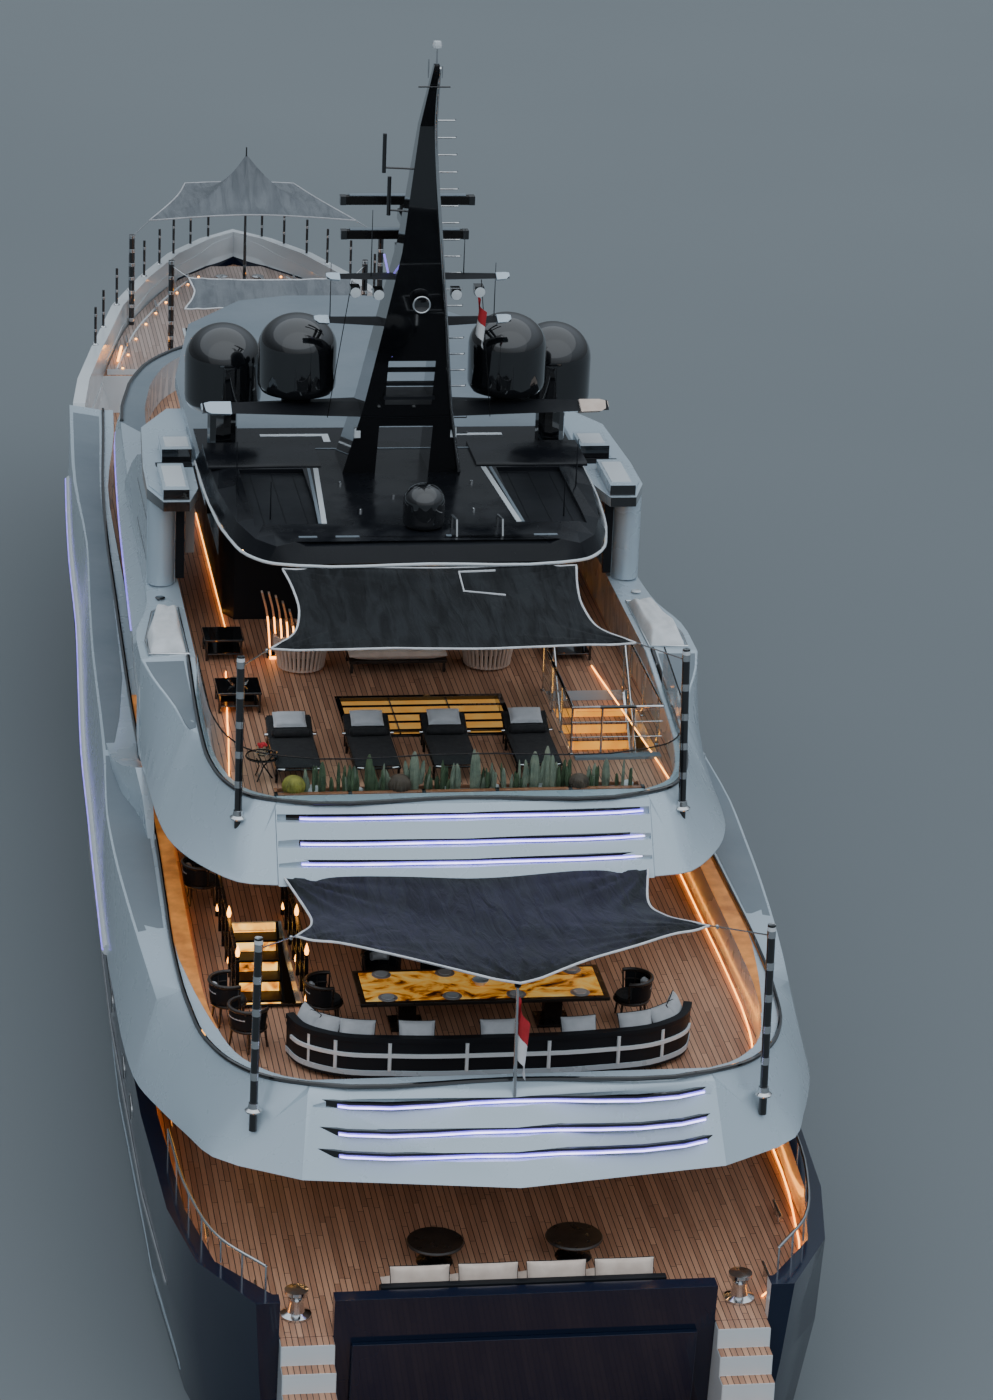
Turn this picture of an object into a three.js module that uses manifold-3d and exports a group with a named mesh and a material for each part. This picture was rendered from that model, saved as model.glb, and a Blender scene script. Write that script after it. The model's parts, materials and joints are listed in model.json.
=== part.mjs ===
// A three-deck motor yacht with an awning-shaded stern, as a scale model at 1:2.
// Sizes and places are the full-size ship's, in metres: x to starboard, y to the bow, z up from the
// waterline, y 0 amidships. MM turns one metre of the ship into millimetres of the model.
import * as THREE from "three";
import { mergeVertices } from "three/addons/utils/BufferGeometryUtils.js";
import Module from "manifold-3d";

const wasm = await Module();
wasm.setup();

const MM = 500;
const GAP = 0.0008; // running gap between pieces that rest on each other

// Deck heights
const PLATFORM_Z = 0.7;
const MAIN_Z = 2.9;
const UPPER_Z = 5.6;
const BRIDGE_Z = 8.42;
const ROOF_UNDER_Z = 11.3;
const ROOF_Z = 11.8;
const FOREDECK_Z = 6.2;
const SLAB = 0.35; // thickness of a deck with its ceiling
const UNDER_UPPER = UPPER_Z - SLAB - GAP;
const RAIL = 0.3; // width of the hull's cap rail
const WALL = 0.15; // thickness of a deckhouse wall
const KNUCKLE_Z = 2.0;
const BILGE_DEPTH = 0.72; // depth of the bilge as a share of the keel's

// Materials
const finish = (color, roughness, metalness) =>
  new THREE.MeshStandardMaterial({ color, roughness, metalness });
const NAVY = finish(0x0b1730, 0.15, 0.2);
const SILVER = finish(0xb9c4cc, 0.3, 0.5);
const BLACK = finish(0x0c0d10, 0.1, 0.1);
const TEAK = finish(0x7b4a32, 0.7, 0);
const STEEL = finish(0xcfd3d6, 0.2, 1);
const BRONZE = finish(0xb08d4a, 0.3, 1);
const GLASS = finish(0x1c2328, 0.05, 0.1);
const CANVAS = finish(0x4a4f56, 0.9, 0);
const PALE_CANVAS = finish(0x9da4aa, 0.9, 0);
const CUSHION = finish(0xd8d2c6, 0.9, 0);
const DARK_WOOD = finish(0x1a1614, 0.5, 0);
const PLANTS = finish(0x5c6b46, 0.9, 0);

// Solids
function solid(geometry) {
  const shape = geometry.clone();
  shape.deleteAttribute("normal");
  shape.deleteAttribute("uv");
  shape.scale(MM, MM, MM);
  const merged = mergeVertices(shape, 1e-3);
  return new wasm.Manifold(
    new wasm.Mesh({
      numProp: 3,
      vertProperties: merged.attributes.position.array,
      triVerts: new Uint32Array(merged.index.array),
    }),
  );
}

const join = (...pieces) => pieces.flat().reduce((whole, piece) => whole.add(piece));
const cut = (body, ...tools) => tools.flat().reduce((rest, tool) => rest.subtract(tool), body);

// A closed solid from triangles given as lists of [x, y, z] corners
function fromFaces(faces) {
  const geometry = new THREE.BufferGeometry();
  const flat = faces.flat(2);
  geometry.setAttribute("position", new THREE.Float32BufferAttribute(flat, 3));
  const merged = mergeVertices(geometry, 1e-5);
  const kept = [];
  const index = merged.index.array;
  for (let i = 0; i < index.length; i += 3) {
    const [a, b, c] = [index[i], index[i + 1], index[i + 2]];
    if (a !== b && b !== c && c !== a) kept.push(a, b, c);
  }
  merged.setIndex(kept);
  return outward(merged);
}

// Turns a mesh's faces outwards when they were listed the other way round
function outward(geometry) {
  const made = solid(geometry);
  if (made.volume() > 0) return made;
  const index = geometry.index.array;
  for (let i = 0; i < index.length; i += 3) [index[i + 1], index[i + 2]] = [index[i + 2], index[i + 1]];
  return solid(geometry);
}

const quad = (a, b, c, d) => [[a, b, c], [a, c, d]];

// A solid through rings of equally many corners; the end rings are closed by flat caps
function loft(rings) {
  const faces = [];
  const count = rings[0].length;
  for (let r = 0; r + 1 < rings.length; r += 1)
    for (let i = 0; i < count; i += 1) {
      const j = (i + 1) % count;
      faces.push(...quad(rings[r][i], rings[r][j], rings[r + 1][j], rings[r + 1][i]));
    }
  const cap = (ring, turned) => {
    const [first, second] = flatAxes(ring);
    const outline = ring.map((p) => new THREE.Vector2(p[first], p[second]));
    for (const corners of THREE.ShapeUtils.triangulateShape(outline, [])) {
      const [a, b, c] = [...corners].sort((m, n) => m - n);
      faces.push(turned ? [ring[a], ring[c], ring[b]] : [ring[a], ring[b], ring[c]]);
    }
  };
  cap(rings[0], true);
  cap(rings[rings.length - 1], false);
  return fromFaces(faces);
}

// The two axes along which a ring is widest, for closing it
function flatAxes(ring) {
  const spans = [0, 1, 2].map((k) => {
    const values = ring.map((p) => p[k]);
    return [Math.max(...values) - Math.min(...values), k];
  });
  spans.sort((a, b) => b[0] - a[0]);
  return [spans[0][1], spans[1][1]].sort();
}

// A solid that is alike to port and starboard, stacked from half outlines of equally many points
function stack(levels) {
  const faces = [];
  const mirror = ([x, y, z]) => [-x, y, z];
  const last = levels[0].length - 1;
  for (let k = 0; k + 1 < levels.length; k += 1) {
    const [low, high] = [levels[k], levels[k + 1]];
    for (let i = 0; i < last; i += 1) {
      const side = quad(low[i], low[i + 1], high[i + 1], high[i]);
      faces.push(...side, ...side.map(([a, b, c]) => [mirror(a), mirror(c), mirror(b)]));
    }
    faces.push(...quad(mirror(low[0]), low[0], high[0], mirror(high[0])));
    faces.push(...quad(low[last], mirror(low[last]), mirror(high[last]), high[last]));
  }
  const [bottom, top] = [levels[0], levels[levels.length - 1]];
  for (let i = 0; i < last; i += 1) {
    faces.push(...quad(bottom[i], mirror(bottom[i]), mirror(bottom[i + 1]), bottom[i + 1]));
    faces.push(...quad(mirror(top[i]), top[i], top[i + 1], mirror(top[i + 1])));
  }
  return fromFaces(faces);
}

// A flat-topped slab from a half outline of [x, y] points
const slab = (outline, low, high) => stack([low, high].map((z) => outline.map(([x, y]) => [x, y, z])));

function box([x0, x1], [y0, y1], [z0, z1]) {
  const shape = new THREE.BoxGeometry(x1 - x0, y1 - y0, z1 - z0);
  shape.translate((x0 + x1) / 2, (y0 + y1) / 2, (z0 + z1) / 2);
  return solid(shape);
}

// A round post, tapered when the two radii differ, between two points
function post(from, to, radius, endRadius = radius, sides = 10) {
  const [a, b] = [new THREE.Vector3(...from), new THREE.Vector3(...to)];
  const along = b.clone().sub(a);
  const shape = new THREE.CylinderGeometry(endRadius, radius, along.length(), sides);
  const upright = new THREE.Vector3(0, 1, 0);
  shape.applyQuaternion(new THREE.Quaternion().setFromUnitVectors(upright, along.normalize()));
  shape.translate(...a.add(b).multiplyScalar(0.5).toArray());
  return solid(shape);
}

// A turned solid from [radius, z] points, standing at x, y
function turned(profile, x, y, sides = 24) {
  const shape = new THREE.LatheGeometry(profile.map(([r, z]) => new THREE.Vector2(r, z)), sides);
  shape.rotateX(Math.PI / 2);
  shape.translate(x, y, 0);
  return solid(shape);
}

// A sheet with thickness, from rows of [x, y, z] points on its upper side
function sheet(rows, thickness) {
  const faces = [];
  const under = rows.map((row) => row.map(([x, y, z]) => [x, y, z - thickness]));
  const [wide, deep] = [rows[0].length - 1, rows.length - 1];
  for (let j = 0; j < deep; j += 1)
    for (let i = 0; i < wide; i += 1) {
      faces.push(...quad(rows[j][i], rows[j][i + 1], rows[j + 1][i + 1], rows[j + 1][i]));
      faces.push(...quad(under[j][i + 1], under[j][i], under[j + 1][i], under[j + 1][i + 1]));
    }
  for (let i = 0; i < wide; i += 1) {
    faces.push(...quad(under[0][i], under[0][i + 1], rows[0][i + 1], rows[0][i]));
    faces.push(...quad(rows[deep][i], rows[deep][i + 1], under[deep][i + 1], under[deep][i]));
  }
  for (let j = 0; j < deep; j += 1) {
    faces.push(...quad(under[j + 1][0], under[j][0], rows[j][0], rows[j + 1][0]));
    faces.push(...quad(under[j][wide], under[j + 1][wide], rows[j + 1][wide], rows[j][wide]));
  }
  return fromFaces(faces);
}

// A copy moved by ship metres, for cutting a neighbour back to a running gap
const moved = (made, x, y, z) => made.translate([x * MM, y * MM, z * MM]);

// A range of x carried over to one side of the ship, low value first
const spread = (side, range) => range.map((x) => side * x).sort((a, b) => a - b);

const blend = (a, b, t) => a + (b - a) * t;
const between = (p, q, t) => p.map((value, k) => blend(value, q[k], t));

// The given rows of numbers with more between them, on smooth lines through them
function fair(rows, steps = 3) {
  const reach = [0];
  for (let i = 1; i < rows.length; i += 1)
    reach.push(reach[i - 1] + Math.hypot(...rows[i].map((value, c) => value - rows[i - 1][c])));
  const rate = (c, a, b) => (rows[b][c] - rows[a][c]) / (reach[b] - reach[a]);
  const slope = (i, c) => {
    const [a, b] = [Math.max(i - 1, 0), Math.min(i + 1, rows.length - 1)];
    if (a === i || b === i) return rate(c, a, b);
    return blend(rate(c, a, i), rate(c, i, b), (reach[i] - reach[a]) / (reach[b] - reach[a]));
  };
  const made = [];
  for (let i = 0; i + 1 < rows.length; i += 1)
    for (let s = 0; s < steps; s += 1) {
      const t = s / steps;
      const [span, out] = [reach[i + 1] - reach[i], 3 * t * t - 2 * t ** 3];
      made.push(rows[i].map((value, c) => blend(value, rows[i + 1][c], out)
        + span * ((t ** 3 - 2 * t * t + t) * slope(i, c) + (t ** 3 - t * t) * slope(i + 1, c))));
    }
  return [...made, rows[rows.length - 1]];
}

// The part
const yacht = new THREE.Group();

function add(name, made, material) {
  const mesh = made.getMesh();
  const geometry = new THREE.BufferGeometry();
  const stride = mesh.numProp;
  const points = new Float32Array(mesh.numVert * 3);
  for (let i = 0; i < mesh.numVert; i += 1)
    points.set(mesh.vertProperties.subarray(i * stride, i * stride + 3), i * 3);
  geometry.setAttribute("position", new THREE.BufferAttribute(points, 3));
  geometry.setIndex(new THREE.BufferAttribute(mesh.triVerts, 1));
  geometry.computeVertexNormals();
  const node = new THREE.Mesh(geometry, material);
  node.name = name;
  yacht.add(node);
}

const SIDES = [
  // name, sign of x
  ["port", -1],
  ["starboard", 1],
];

// Hull
const SHAFT = {
  x: 2.3,
  front: [-14.0, -1.75], // y, z
  back: [-21.6, -2.45],
  radius: 0.14,
};
const SHAFT_LEAN = Math.atan2(SHAFT.front[1] - SHAFT.back[1], SHAFT.front[0] - SHAFT.back[0]);
const RUDDER_Y = -23.6;
const RUDDER_TOP = -1.35;
const FIN = { x: 4.05, y: 1.5, z: -2.05, boss: 0.14, root: 0.22 }; // its stock leans 45 degrees down and out
const BEACH_CLUB = { x: 2.6, y: [-27.5, -23.6], z: [0.95, 2.6] };
const HULL = [
  // keel y, sheer y, keel z, half-breadths at keel, bilge, waterline, knuckle and sheer, sheer z, deck z
  [-26.4, -27.0, -0.7, 0.25, 3.3, 4.2, 4.4, 4.5, 3.6, MAIN_Z],
  [-25.2, -25.5, -1.0, 0.25, 4.0, 5.0, 5.3, 5.35, 3.6, MAIN_Z],
  [-23.4, -23.6, -1.4, 0.25, 4.3, 5.35, 5.65, 5.7, 3.6, MAIN_Z],
  [-20.0, -20.0, -1.9, 0.25, 4.5, 5.6, 5.85, 5.9, 3.62, MAIN_Z],
  [-13.0, -13.0, -2.6, 0.25, 4.6, 5.75, 5.95, 6.0, 3.75, MAIN_Z],
  [-4.2, -4.2, -3.0, 0.25, 4.5, 5.6, 5.85, 5.95, 3.85, MAIN_Z],
  [-4.0, -4.0, -3.0, 0.25, 4.5, 5.6, 5.85, 5.95, 3.85, 3.85],
  [5.0, 5.0, -3.1, 0.25, 3.9, 4.9, 5.35, 5.7, 4.0, 4.0],
  [10.5, 10.5, -3.1, 0.22, 2.9, 4.0, 4.7, 5.45, 5.0, 5.0],
  [11.4, 11.4, -3.1, 0.215, 2.7, 3.78, 4.52, 5.4, 5.15, 5.15],
  [12.2, 12.2, -3.1, 0.21, 2.52, 3.58, 4.38, 5.33, 6.9, UNDER_UPPER],
  [14.0, 14.0, -3.1, 0.2, 2.1, 3.1, 3.95, 5.12, 6.98, UNDER_UPPER],
  [16.2, 16.7, -3.0, 0.18, 1.5, 2.4, 3.3, 4.62, 7.0, UNDER_UPPER],
  [16.3, 16.8, -3.0, 0.18, 1.48, 2.38, 3.28, 4.6, 7.0, FOREDECK_Z],
  [19.5, 20.6, -2.8, 0.15, 0.8, 1.5, 2.3, 3.85, 7.0, FOREDECK_Z],
  [21.8, 23.4, -2.4, 0.12, 0.35, 0.8, 1.4, 2.95, 7.0, FOREDECK_Z],
  [23.2, 25.6, -1.6, 0.08, 0.15, 0.35, 0.75, 2.0, 7.05, FOREDECK_Z],
  [24.0, 27.0, -0.9, 0.05, 0.08, 0.15, 0.35, 1.0, 7.1, FOREDECK_Z],
  [24.4, 28.0, -0.4, 0, 0, 0, 0, 0, 7.1, FOREDECK_Z],
];
const SHEER = HULL.map(([, y, , , , , , x, z]) => [x, y, z]);

// The sheer's half-breadth and height at a place along the hull
function sheerAt(y) {
  const next = Math.max(1, SHEER.findIndex((point) => point[1] >= y));
  const [a, b] = [SHEER[next - 1], SHEER[next]];
  return between(a, b, (y - a[1]) / (b[1] - a[1]));
}

// A round of a stabiliser fin's stock between two distances from the turn of the bilge
function finStock(side, from, to, radius) {
  const at = (out) => [side * (FIN.x + out), FIN.y, FIN.z - out];
  return post(at(from), at(to), radius, radius, 12);
}

const STERN_STEPS = { count: 6, foot: -28.6, run: 0.28, x: [3.2, 4.1] };

function hull() {
  const levels = [[], [], [], [], [], [], []];
  for (const [yKeel, ySheer, zKeel, xKeel, xBilge, xWater, xKnuckle, xSheer, zSheer, zDeck] of HULL) {
    const at = (x, z) => [x, blend(yKeel, ySheer, (z - zKeel) / (zSheer - zKeel)), z];
    levels[0].push([xKeel, yKeel, zKeel]);
    levels[1].push(at(xBilge, zKeel * BILGE_DEPTH));
    levels[2].push(at(xWater, 0));
    levels[3].push(at(xKnuckle, KNUCKLE_Z));
    levels[4].push([xSheer, ySheer, zSheer]);
    const inner = Math.max(xSheer - RAIL, 0);
    const atEnd = levels[5].length === 0 || xSheer === 0;
    const yInner = atEnd ? ySheer - Math.sign(ySheer) * RAIL : ySheer;
    levels[5].push([inner, yInner, zSheer]);
    levels[6].push([inner, yInner, zDeck]);
  }
  const bosses = SIDES.map(([, side]) => post(
    [side * SHAFT.x, RUDDER_Y, -0.8], [side * SHAFT.x, RUDDER_Y, RUDDER_TOP], 0.22, 0.22, 12));
  const fins = SIDES.map(([, side]) => finStock(side, -0.4, FIN.boss, 0.2));
  const club = box([-BEACH_CLUB.x, BEACH_CLUB.x], BEACH_CLUB.y, BEACH_CLUB.z);
  const gates = SIDES.map(([, side]) => box(spread(side, STERN_STEPS.x), [-27.2, -26.5], [MAIN_Z, 3.8]));
  return cut(join(stack(levels), bosses, fins), club, gates);
}

// Swim platform with a stair each side up to the main deck

function swimPlatform(hullSolid) {
  const plate = slab([[4.0, -30.0], [4.5, -29.4], [4.5, -27.0], [4.2, -26.0]], PLATFORM_Z - 0.35, PLATFORM_Z);
  const { count, foot, run, x } = STERN_STEPS;
  const rise = (MAIN_Z - PLATFORM_Z) / count;
  const steps = [];
  for (const side of [-1, 1])
    for (let i = 0; i < count; i += 1) {
      const top = PLATFORM_Z + rise * (i + 1);
      steps.push(box(spread(side, x), [foot + i * run, -26.4], [PLATFORM_Z - 0.1, top]));
    }
  return cut(join(plate, steps), hullSolid.translate([0, -GAP * MM, 0]));
}

// Silver topsides forward, between the hull's cap rail and the upper deck with its bulwarks
function forwardShell(bulwarks) {
  const top = UPPER_Z - SLAB - GAP;
  const places = [-4.0, 5.0, 10.5, 11.3];
  const low = places.map((y) => sheerAt(y)).map(([x, y, z]) => [x - 0.25, y, z + GAP]);
  const body = stack([low, low.map(([x, y]) => [x, y, top])]);
  return cut(body, bulwarks.map((made) => moved(made, 0, 0, -3 * GAP)));
}

// Underwater gear

function shaftLine(side, hullSolid) {
  const x = side * SHAFT.x;
  const [front, back] = [SHAFT.front, SHAFT.back].map(([y, z]) => [x, y, z]);
  const section = (across, y, z) => [
    [across - 0.08, y, z], [across + 0.08, y, z], [across + 0.08, y + 0.6, z], [across - 0.08, y + 0.6, z],
  ];
  const strut = (lean) => loft([section(x, -21.35, -2.42), section(x + lean, -21.1, -1.2)]);
  const bearing = post(between(front, back, 0.88), back, 0.24, 0.24, 12);
  const shaft = post(front, between(front, back, 0.95), SHAFT.radius, SHAFT.radius, 8);
  return cut(join(shaft, bearing, strut(-0.6), strut(0.6)), hullSolid.translate([0, 0, -GAP * MM]));
}

// Columns of rings: share of the blade's height, half-width
const BLADE = {
  foot: 0.12,
  tip: 0.78,
  rings: [[0, 0.12], [0.35, 0.24], [0.75, 0.25], [1, 0.1]],
  thick: 0.05,
  pitch: 0.6,
  count: 5,
};

function propeller(side) {
  const { foot, tip, rings, thick, pitch, count } = BLADE;
  const blades = [];
  for (let i = 0; i < count; i += 1) {
    const [sin, cos] = [Math.sin, Math.cos].map((value) => value((i * 2 * Math.PI) / count));
    const place = (across, along, out) => {
      const x = across * Math.cos(pitch) + along * Math.sin(pitch);
      const y = along * Math.cos(pitch) - across * Math.sin(pitch);
      return [side * (x * cos + out * sin), y - 0.33, out * cos - x * sin];
    };
    blades.push(loft(rings.map(([share, half]) => {
      const out = blend(foot, tip, share);
      const section = [[half, 0], [0, thick], [-half, 0], [0, -thick]];
      return section.map(([across, along]) => place(across, along, out));
    })));
  }
  const hub = post([0, -GAP, 0], [0, -0.66, 0], 0.24, 0.12, 12);
  const degrees = (SHAFT_LEAN * 180) / Math.PI;
  const [y, z] = SHAFT.back;
  return join(hub, blades).rotate([degrees, 0, 0]).translate([side * SHAFT.x * MM, y * MM, z * MM]);
}

function rudder(side) {
  const x = side * SHAFT.x;
  const section = (z, front, back) => [
    [x, RUDDER_Y + front, z], [x + 0.11, RUDDER_Y + front - 0.3, z], [x, RUDDER_Y - back, z],
    [x - 0.11, RUDDER_Y + front - 0.3, z],
  ];
  const blade = loft([section(-3.2, 0.35, 0.7), section(RUDDER_TOP - 0.25, 0.45, 0.95)]);
  return join(blade, post([x, RUDDER_Y, RUDDER_TOP - 0.4], [x, RUDDER_Y, RUDDER_TOP - GAP], 0.12));
}

function stabiliserFin(side) {
  const { x, y, z } = FIN;
  const section = (out, drop, front, back) => [
    [side * (x + out), y + front, z - drop], [side * (x + out) + 0.08, y, z - drop - 0.03],
    [side * (x + out), y - back, z - drop], [side * (x + out) - 0.08, y, z - drop + 0.03],
  ];
  const blade = loft([section(FIN.root, FIN.root, 0.7, 0.9), section(1.2, 1.2, 0.35, 0.75)]);
  return join(blade, finStock(side, FIN.boss + GAP, FIN.root + 0.2, 0.12));
}

// Deckhouses: walls from a half outline, open above and below, with window openings cut
const inset = (outline, by) => outline.map(([x, y], i) => [
  Math.max(x - by, 0.1), i === 0 ? y + by : i === outline.length - 1 ? y - by : y,
]);

function walls(outline, low, high, rake = 0) {
  const at = (line, z, lean) => line.map(([x, y], i) => [x, i >= line.length - 2 ? y - lean : y, z]);
  const outer = stack([at(outline, low, 0), at(outline, high, rake)]);
  const hollow = inset(outline, WALL);
  const inner = stack([at(hollow, low - 0.1, 0), at(hollow, high + 0.1, rake)]);
  return cut(outer, inner);
}

const MAIN_HOUSE = [[4.6, -15.9], [4.75, -15.3], [4.75, -4.4], [4.6, -4.2 - GAP]];
const UPPER_HOUSE = [[3.6, -11.6], [3.95, -11.0], [3.95, 6.0], [3.2, 9.6], [1.8, 10.6]];
const BRIDGE_HOUSE = [[3.2, -7.6], [3.4, -7.2], [3.4, 0.5], [2.8, 3.6], [1.5, 4.6]];

function mainHouse() {
  const [low, high] = [MAIN_Z + GAP, UPPER_Z - SLAB - GAP];
  const windows = [-14.6, -11.1, -7.6].map((y) => box([-6, 6], [y, y + 3.0], [3.7, 4.9]));
  return cut(walls(MAIN_HOUSE, low, high), windows, box([-1.6, 1.6], [-17, -15], [low - 1, 5.0]));
}

function upperHouse() {
  const [low, high] = [UPPER_Z + GAP, BRIDGE_Z - SLAB - GAP];
  const windows = [-9.9, -6.0, -2.1, 1.8].map((y) => box([-6, 6], [y, y + 3.3], [6.3, 7.7]));
  const front = box([-2.6, 2.6], [9.0, 12], [6.5, 7.7]);
  const doorway = box([-1.5, 1.5], [-12, -11], [low - 1, 7.8]);
  return cut(walls(UPPER_HOUSE, low, high, 0.5), windows, front, doorway);
}

function bridgeHouse() {
  const [low, high] = [BRIDGE_Z + GAP, ROOF_UNDER_Z - GAP];
  const windows = [-6.2, -3.0, -0.4].map((y) => box([-5, 5], [y, y + 2.7], [9.3, 10.8]));
  const front = box([-2.4, 2.4], [3.4, 6], [9.5, 10.8]);
  const doorway = box([-1.5, 1.5], [-9, -7], [low - 1, 10.9]);
  return cut(walls(BRIDGE_HOUSE, low, high, 0.7), windows, front, doorway);
}

// Sliding glass door leaves of the upper two saloons, just inside the aft walls
function slidingDoor(aft, low, high) {
  return box([-1.58, 1.58], [aft + WALL + 0.02, aft + WALL + 0.09], [low + GAP, high]);
}

// Decks
const DECK_JOINT_Y = -14.0; // where the upper deck's aft part meets the long part beside the house
const STAIRWELL = { x: [2.5, 4.1], y: [-15.2, -11.9] };
const SKYLIGHT = { x: [-1.66, 1.6], y: [-14.18, -12.05], depth: 0.22 };
const PORT_STAIR = { x: [-4.15, -3.05], y: [-19.9, -16.2] };

// A deck's edge is the inner line of the bulwark beside it
const innerLine = (rows) => fair(rows).map(([x, y]) => [x, y]);

function upperDeckAft() {
  const edge = innerLine(UPPER_SHELL.slice(FASCIA_END)).filter(([, y]) => y < DECK_JOINT_Y);
  const well = box(PORT_STAIR.x, PORT_STAIR.y, [UPPER_Z - 1, UPPER_Z + 1]);
  const joint = [edge[edge.length - 1][0], DECK_JOINT_Y - GAP];
  return cut(slab([...edge, joint], UPPER_Z - SLAB, UPPER_Z), well);
}

function upperDeck() {
  const edge = innerLine(UPPER_SHELL.slice(FASCIA_END)).filter(([, y]) => y > DECK_JOINT_Y);
  return slab([[edge[0][0], DECK_JOINT_Y], ...edge, [4.2, 13.5], [3.2, 14.6]], UPPER_Z - SLAB, UPPER_Z);
}

function bridgeDeck() {
  const side = innerLine(BRIDGE_SIDE);
  const edge = [...innerLine(BRIDGE_SHELL.slice(FASCIA_END)), ...side.slice(1, side.length - 3)];
  const deck = slab(edge, BRIDGE_Z - SLAB, BRIDGE_Z);
  const well = box(STAIRWELL.x, STAIRWELL.y, [BRIDGE_Z - 1, BRIDGE_Z + 1]);
  const skylight = box(SKYLIGHT.x, SKYLIGHT.y, [BRIDGE_Z - SKYLIGHT.depth, BRIDGE_Z + 1]);
  return cut(deck, well, skylight);
}

// The moulded bulwark round the aft end of a deck, as sections from the centreline forward.
// Columns: inner face x, y; coaming x, y, z; crease x, y, z; lower edge x, y, z
const UPPER_SHELL = [
  [0.0, -24.3, 0.0, -24.54, 6.3, 0.0, -24.78, 6.24, 0.0, -25.85, 4.95],
  [3.4, -24.3, 3.4, -24.48, 6.3, 3.46, -24.64, 6.22, 3.6, -25.3, 4.95],
  [4.0, -23.95, 4.16, -24.12, 6.3, 4.95, -24.26, 5.02, 5.0, -24.32, 4.93],
  [4.42, -23.4, 4.62, -23.58, 6.3, 5.22, -23.35, 5.42, 5.36, -23.35, 4.87],
  [4.7, -22.5, 4.98, -22.7, 6.3, 5.42, -22.1, 5.72, 5.74, -22.1, 4.76],
  [4.85, -21.2, 5.17, -21.3, 6.3, 5.6, -20.9, 5.95, 6.0, -20.9, 4.6],
  [4.9, -19.3, 5.26, -19.3, 6.3, 5.76, -19.3, 6.14, 6.12, -19.3, 4.45],
  [4.9, -16.5, 5.24, -16.5, 6.34, 5.96, -16.5, 6.29, 6.16, -16.5, 4.35],
  [4.9, -14.6, 5.22, -14.6, 6.38, 6.05, -14.6, 6.34, 6.17, -14.6, 4.3],
  [4.9, -12.9, 5.23, -12.9, 6.45, 6.08, -12.9, 6.45, 6.14, -12.9, 4.25],
  [4.9, -10.6, 5.24, -10.6, 6.54, 5.98, -10.6, 6.55, 6.1, -10.6, 4.2],
  [4.9, -8.0, 5.25, -8.0, 6.6, 5.92, -8.0, 6.6, 6.05, -8.0, 4.2],
  [4.9, -4.2, 5.2, -4.2, 6.62, 5.85, -4.2, 6.62, 5.98, -4.2, 4.2],
  [4.9, -0.9, 5.15, -0.9, 6.63, 5.72, -0.9, 6.63, 5.85, -0.9, 4.4],
  [4.9, 2.4, 5.1, 2.4, 6.65, 5.58, 2.4, 6.67, 5.72, 2.4, 4.6],
  [4.86, 6.0, 4.98, 6.0, 6.78, 5.66, 6.0, 6.92, 5.68, 6.0, 4.9],
  [4.5, 9.6, 4.75, 9.6, 6.93, 5.54, 9.6, 7.08, 5.56, 9.6, 5.2],
  [4.4, 11.35, 4.65, 11.35, 6.98, 5.46, 11.35, 7.12, 5.48, 11.35, 5.4],
];
const BRIDGE_SHELL = [
  [0.0, -17.75, 0.0, -18.05, 8.75, 0.0, -18.2, 8.72, 0.0, -19.15, 7.5],
  [3.35, -17.75, 3.35, -18.0, 8.75, 3.4, -18.12, 8.7, 3.4, -18.95, 7.5],
  [3.78, -17.45, 3.85, -17.75, 8.76, 4.06, -18.7, 7.6, 4.12, -18.75, 7.5],
  [4.05, -16.95, 4.2, -17.15, 8.77, 4.32, -17.7, 8.12, 4.72, -17.9, 7.48],
  [4.25, -16.1, 4.41, -16.3, 8.82, 4.5, -16.45, 8.52, 5.12, -16.9, 7.45],
  [4.33, -15.0, 4.48, -15.1, 8.9, 4.66, -15.0, 8.78, 5.3, -15.7, 7.42],
  [4.35, -13.9, 4.5, -13.9, 9.06, 4.9, -13.9, 9.02, 5.36, -14.3, 7.39],
  [4.35, -12.9, 4.5, -12.9, 9.24, 5.25, -12.9, 9.24, 5.4, -12.9, 7.37],
  [4.35, -12.2, 4.5, -12.2, 9.36, 5.4, -12.2, 9.34, 5.42, -12.2, 7.35],
];

function shellRings(rows, floor, side) {
  return rows.map(([xi, yi, xc, yc, zc, xk, yk, zk, xl, yl, zl]) => {
    const [x, y] = [xi + (xi && GAP), yi - GAP];
    const ring = [[x, y, floor], [x, y, zc], [xc, yc, zc], [xk, yk, zk], [xl, yl, zl]];
    return ring.map(([across, along, up]) => [side * across, along, up]);
  });
}

const FASCIA_END = 1; // the last section of the stern fascia in the shell tables

function quarter(rows, floor, side) {
  const start = rows[FASCIA_END].slice();
  const clear = [0, 2, 5, 8];
  for (const column of clear) start[column] += GAP;
  return loft(shellRings(fair([start, ...rows.slice(FASCIA_END + 1)]), floor, side));
}

// The stern fascia with its recessed light slots. Columns of slots: z, half-length
function fascia(rows, floor, slots) {
  const half = rows.slice(0, FASCIA_END + 1);
  const port = shellRings([...half].reverse(), floor, -1);
  const starboard = shellRings(half.slice(1), floor, 1);
  const [, , , , , , yTop, zTop, , yLow, zLow] = rows[0];
  const tools = slots.map(([z, length]) => {
    const y = blend(yTop, yLow, (zTop - z) / (zTop - zLow));
    return box([-length, length], [y - 0.4, y + 0.17], [z - 0.06, z + 0.06]);
  });
  return cut(loft([...port, ...starboard]), tools);
}

const UPPER_SLOTS = [[6.08, 3.38], [5.68, 3.38], [5.36, 3.38]];
const BRIDGE_SLOTS = [[8.52, 3.38], [8.14, 3.38], [7.84, 3.38]];

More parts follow.
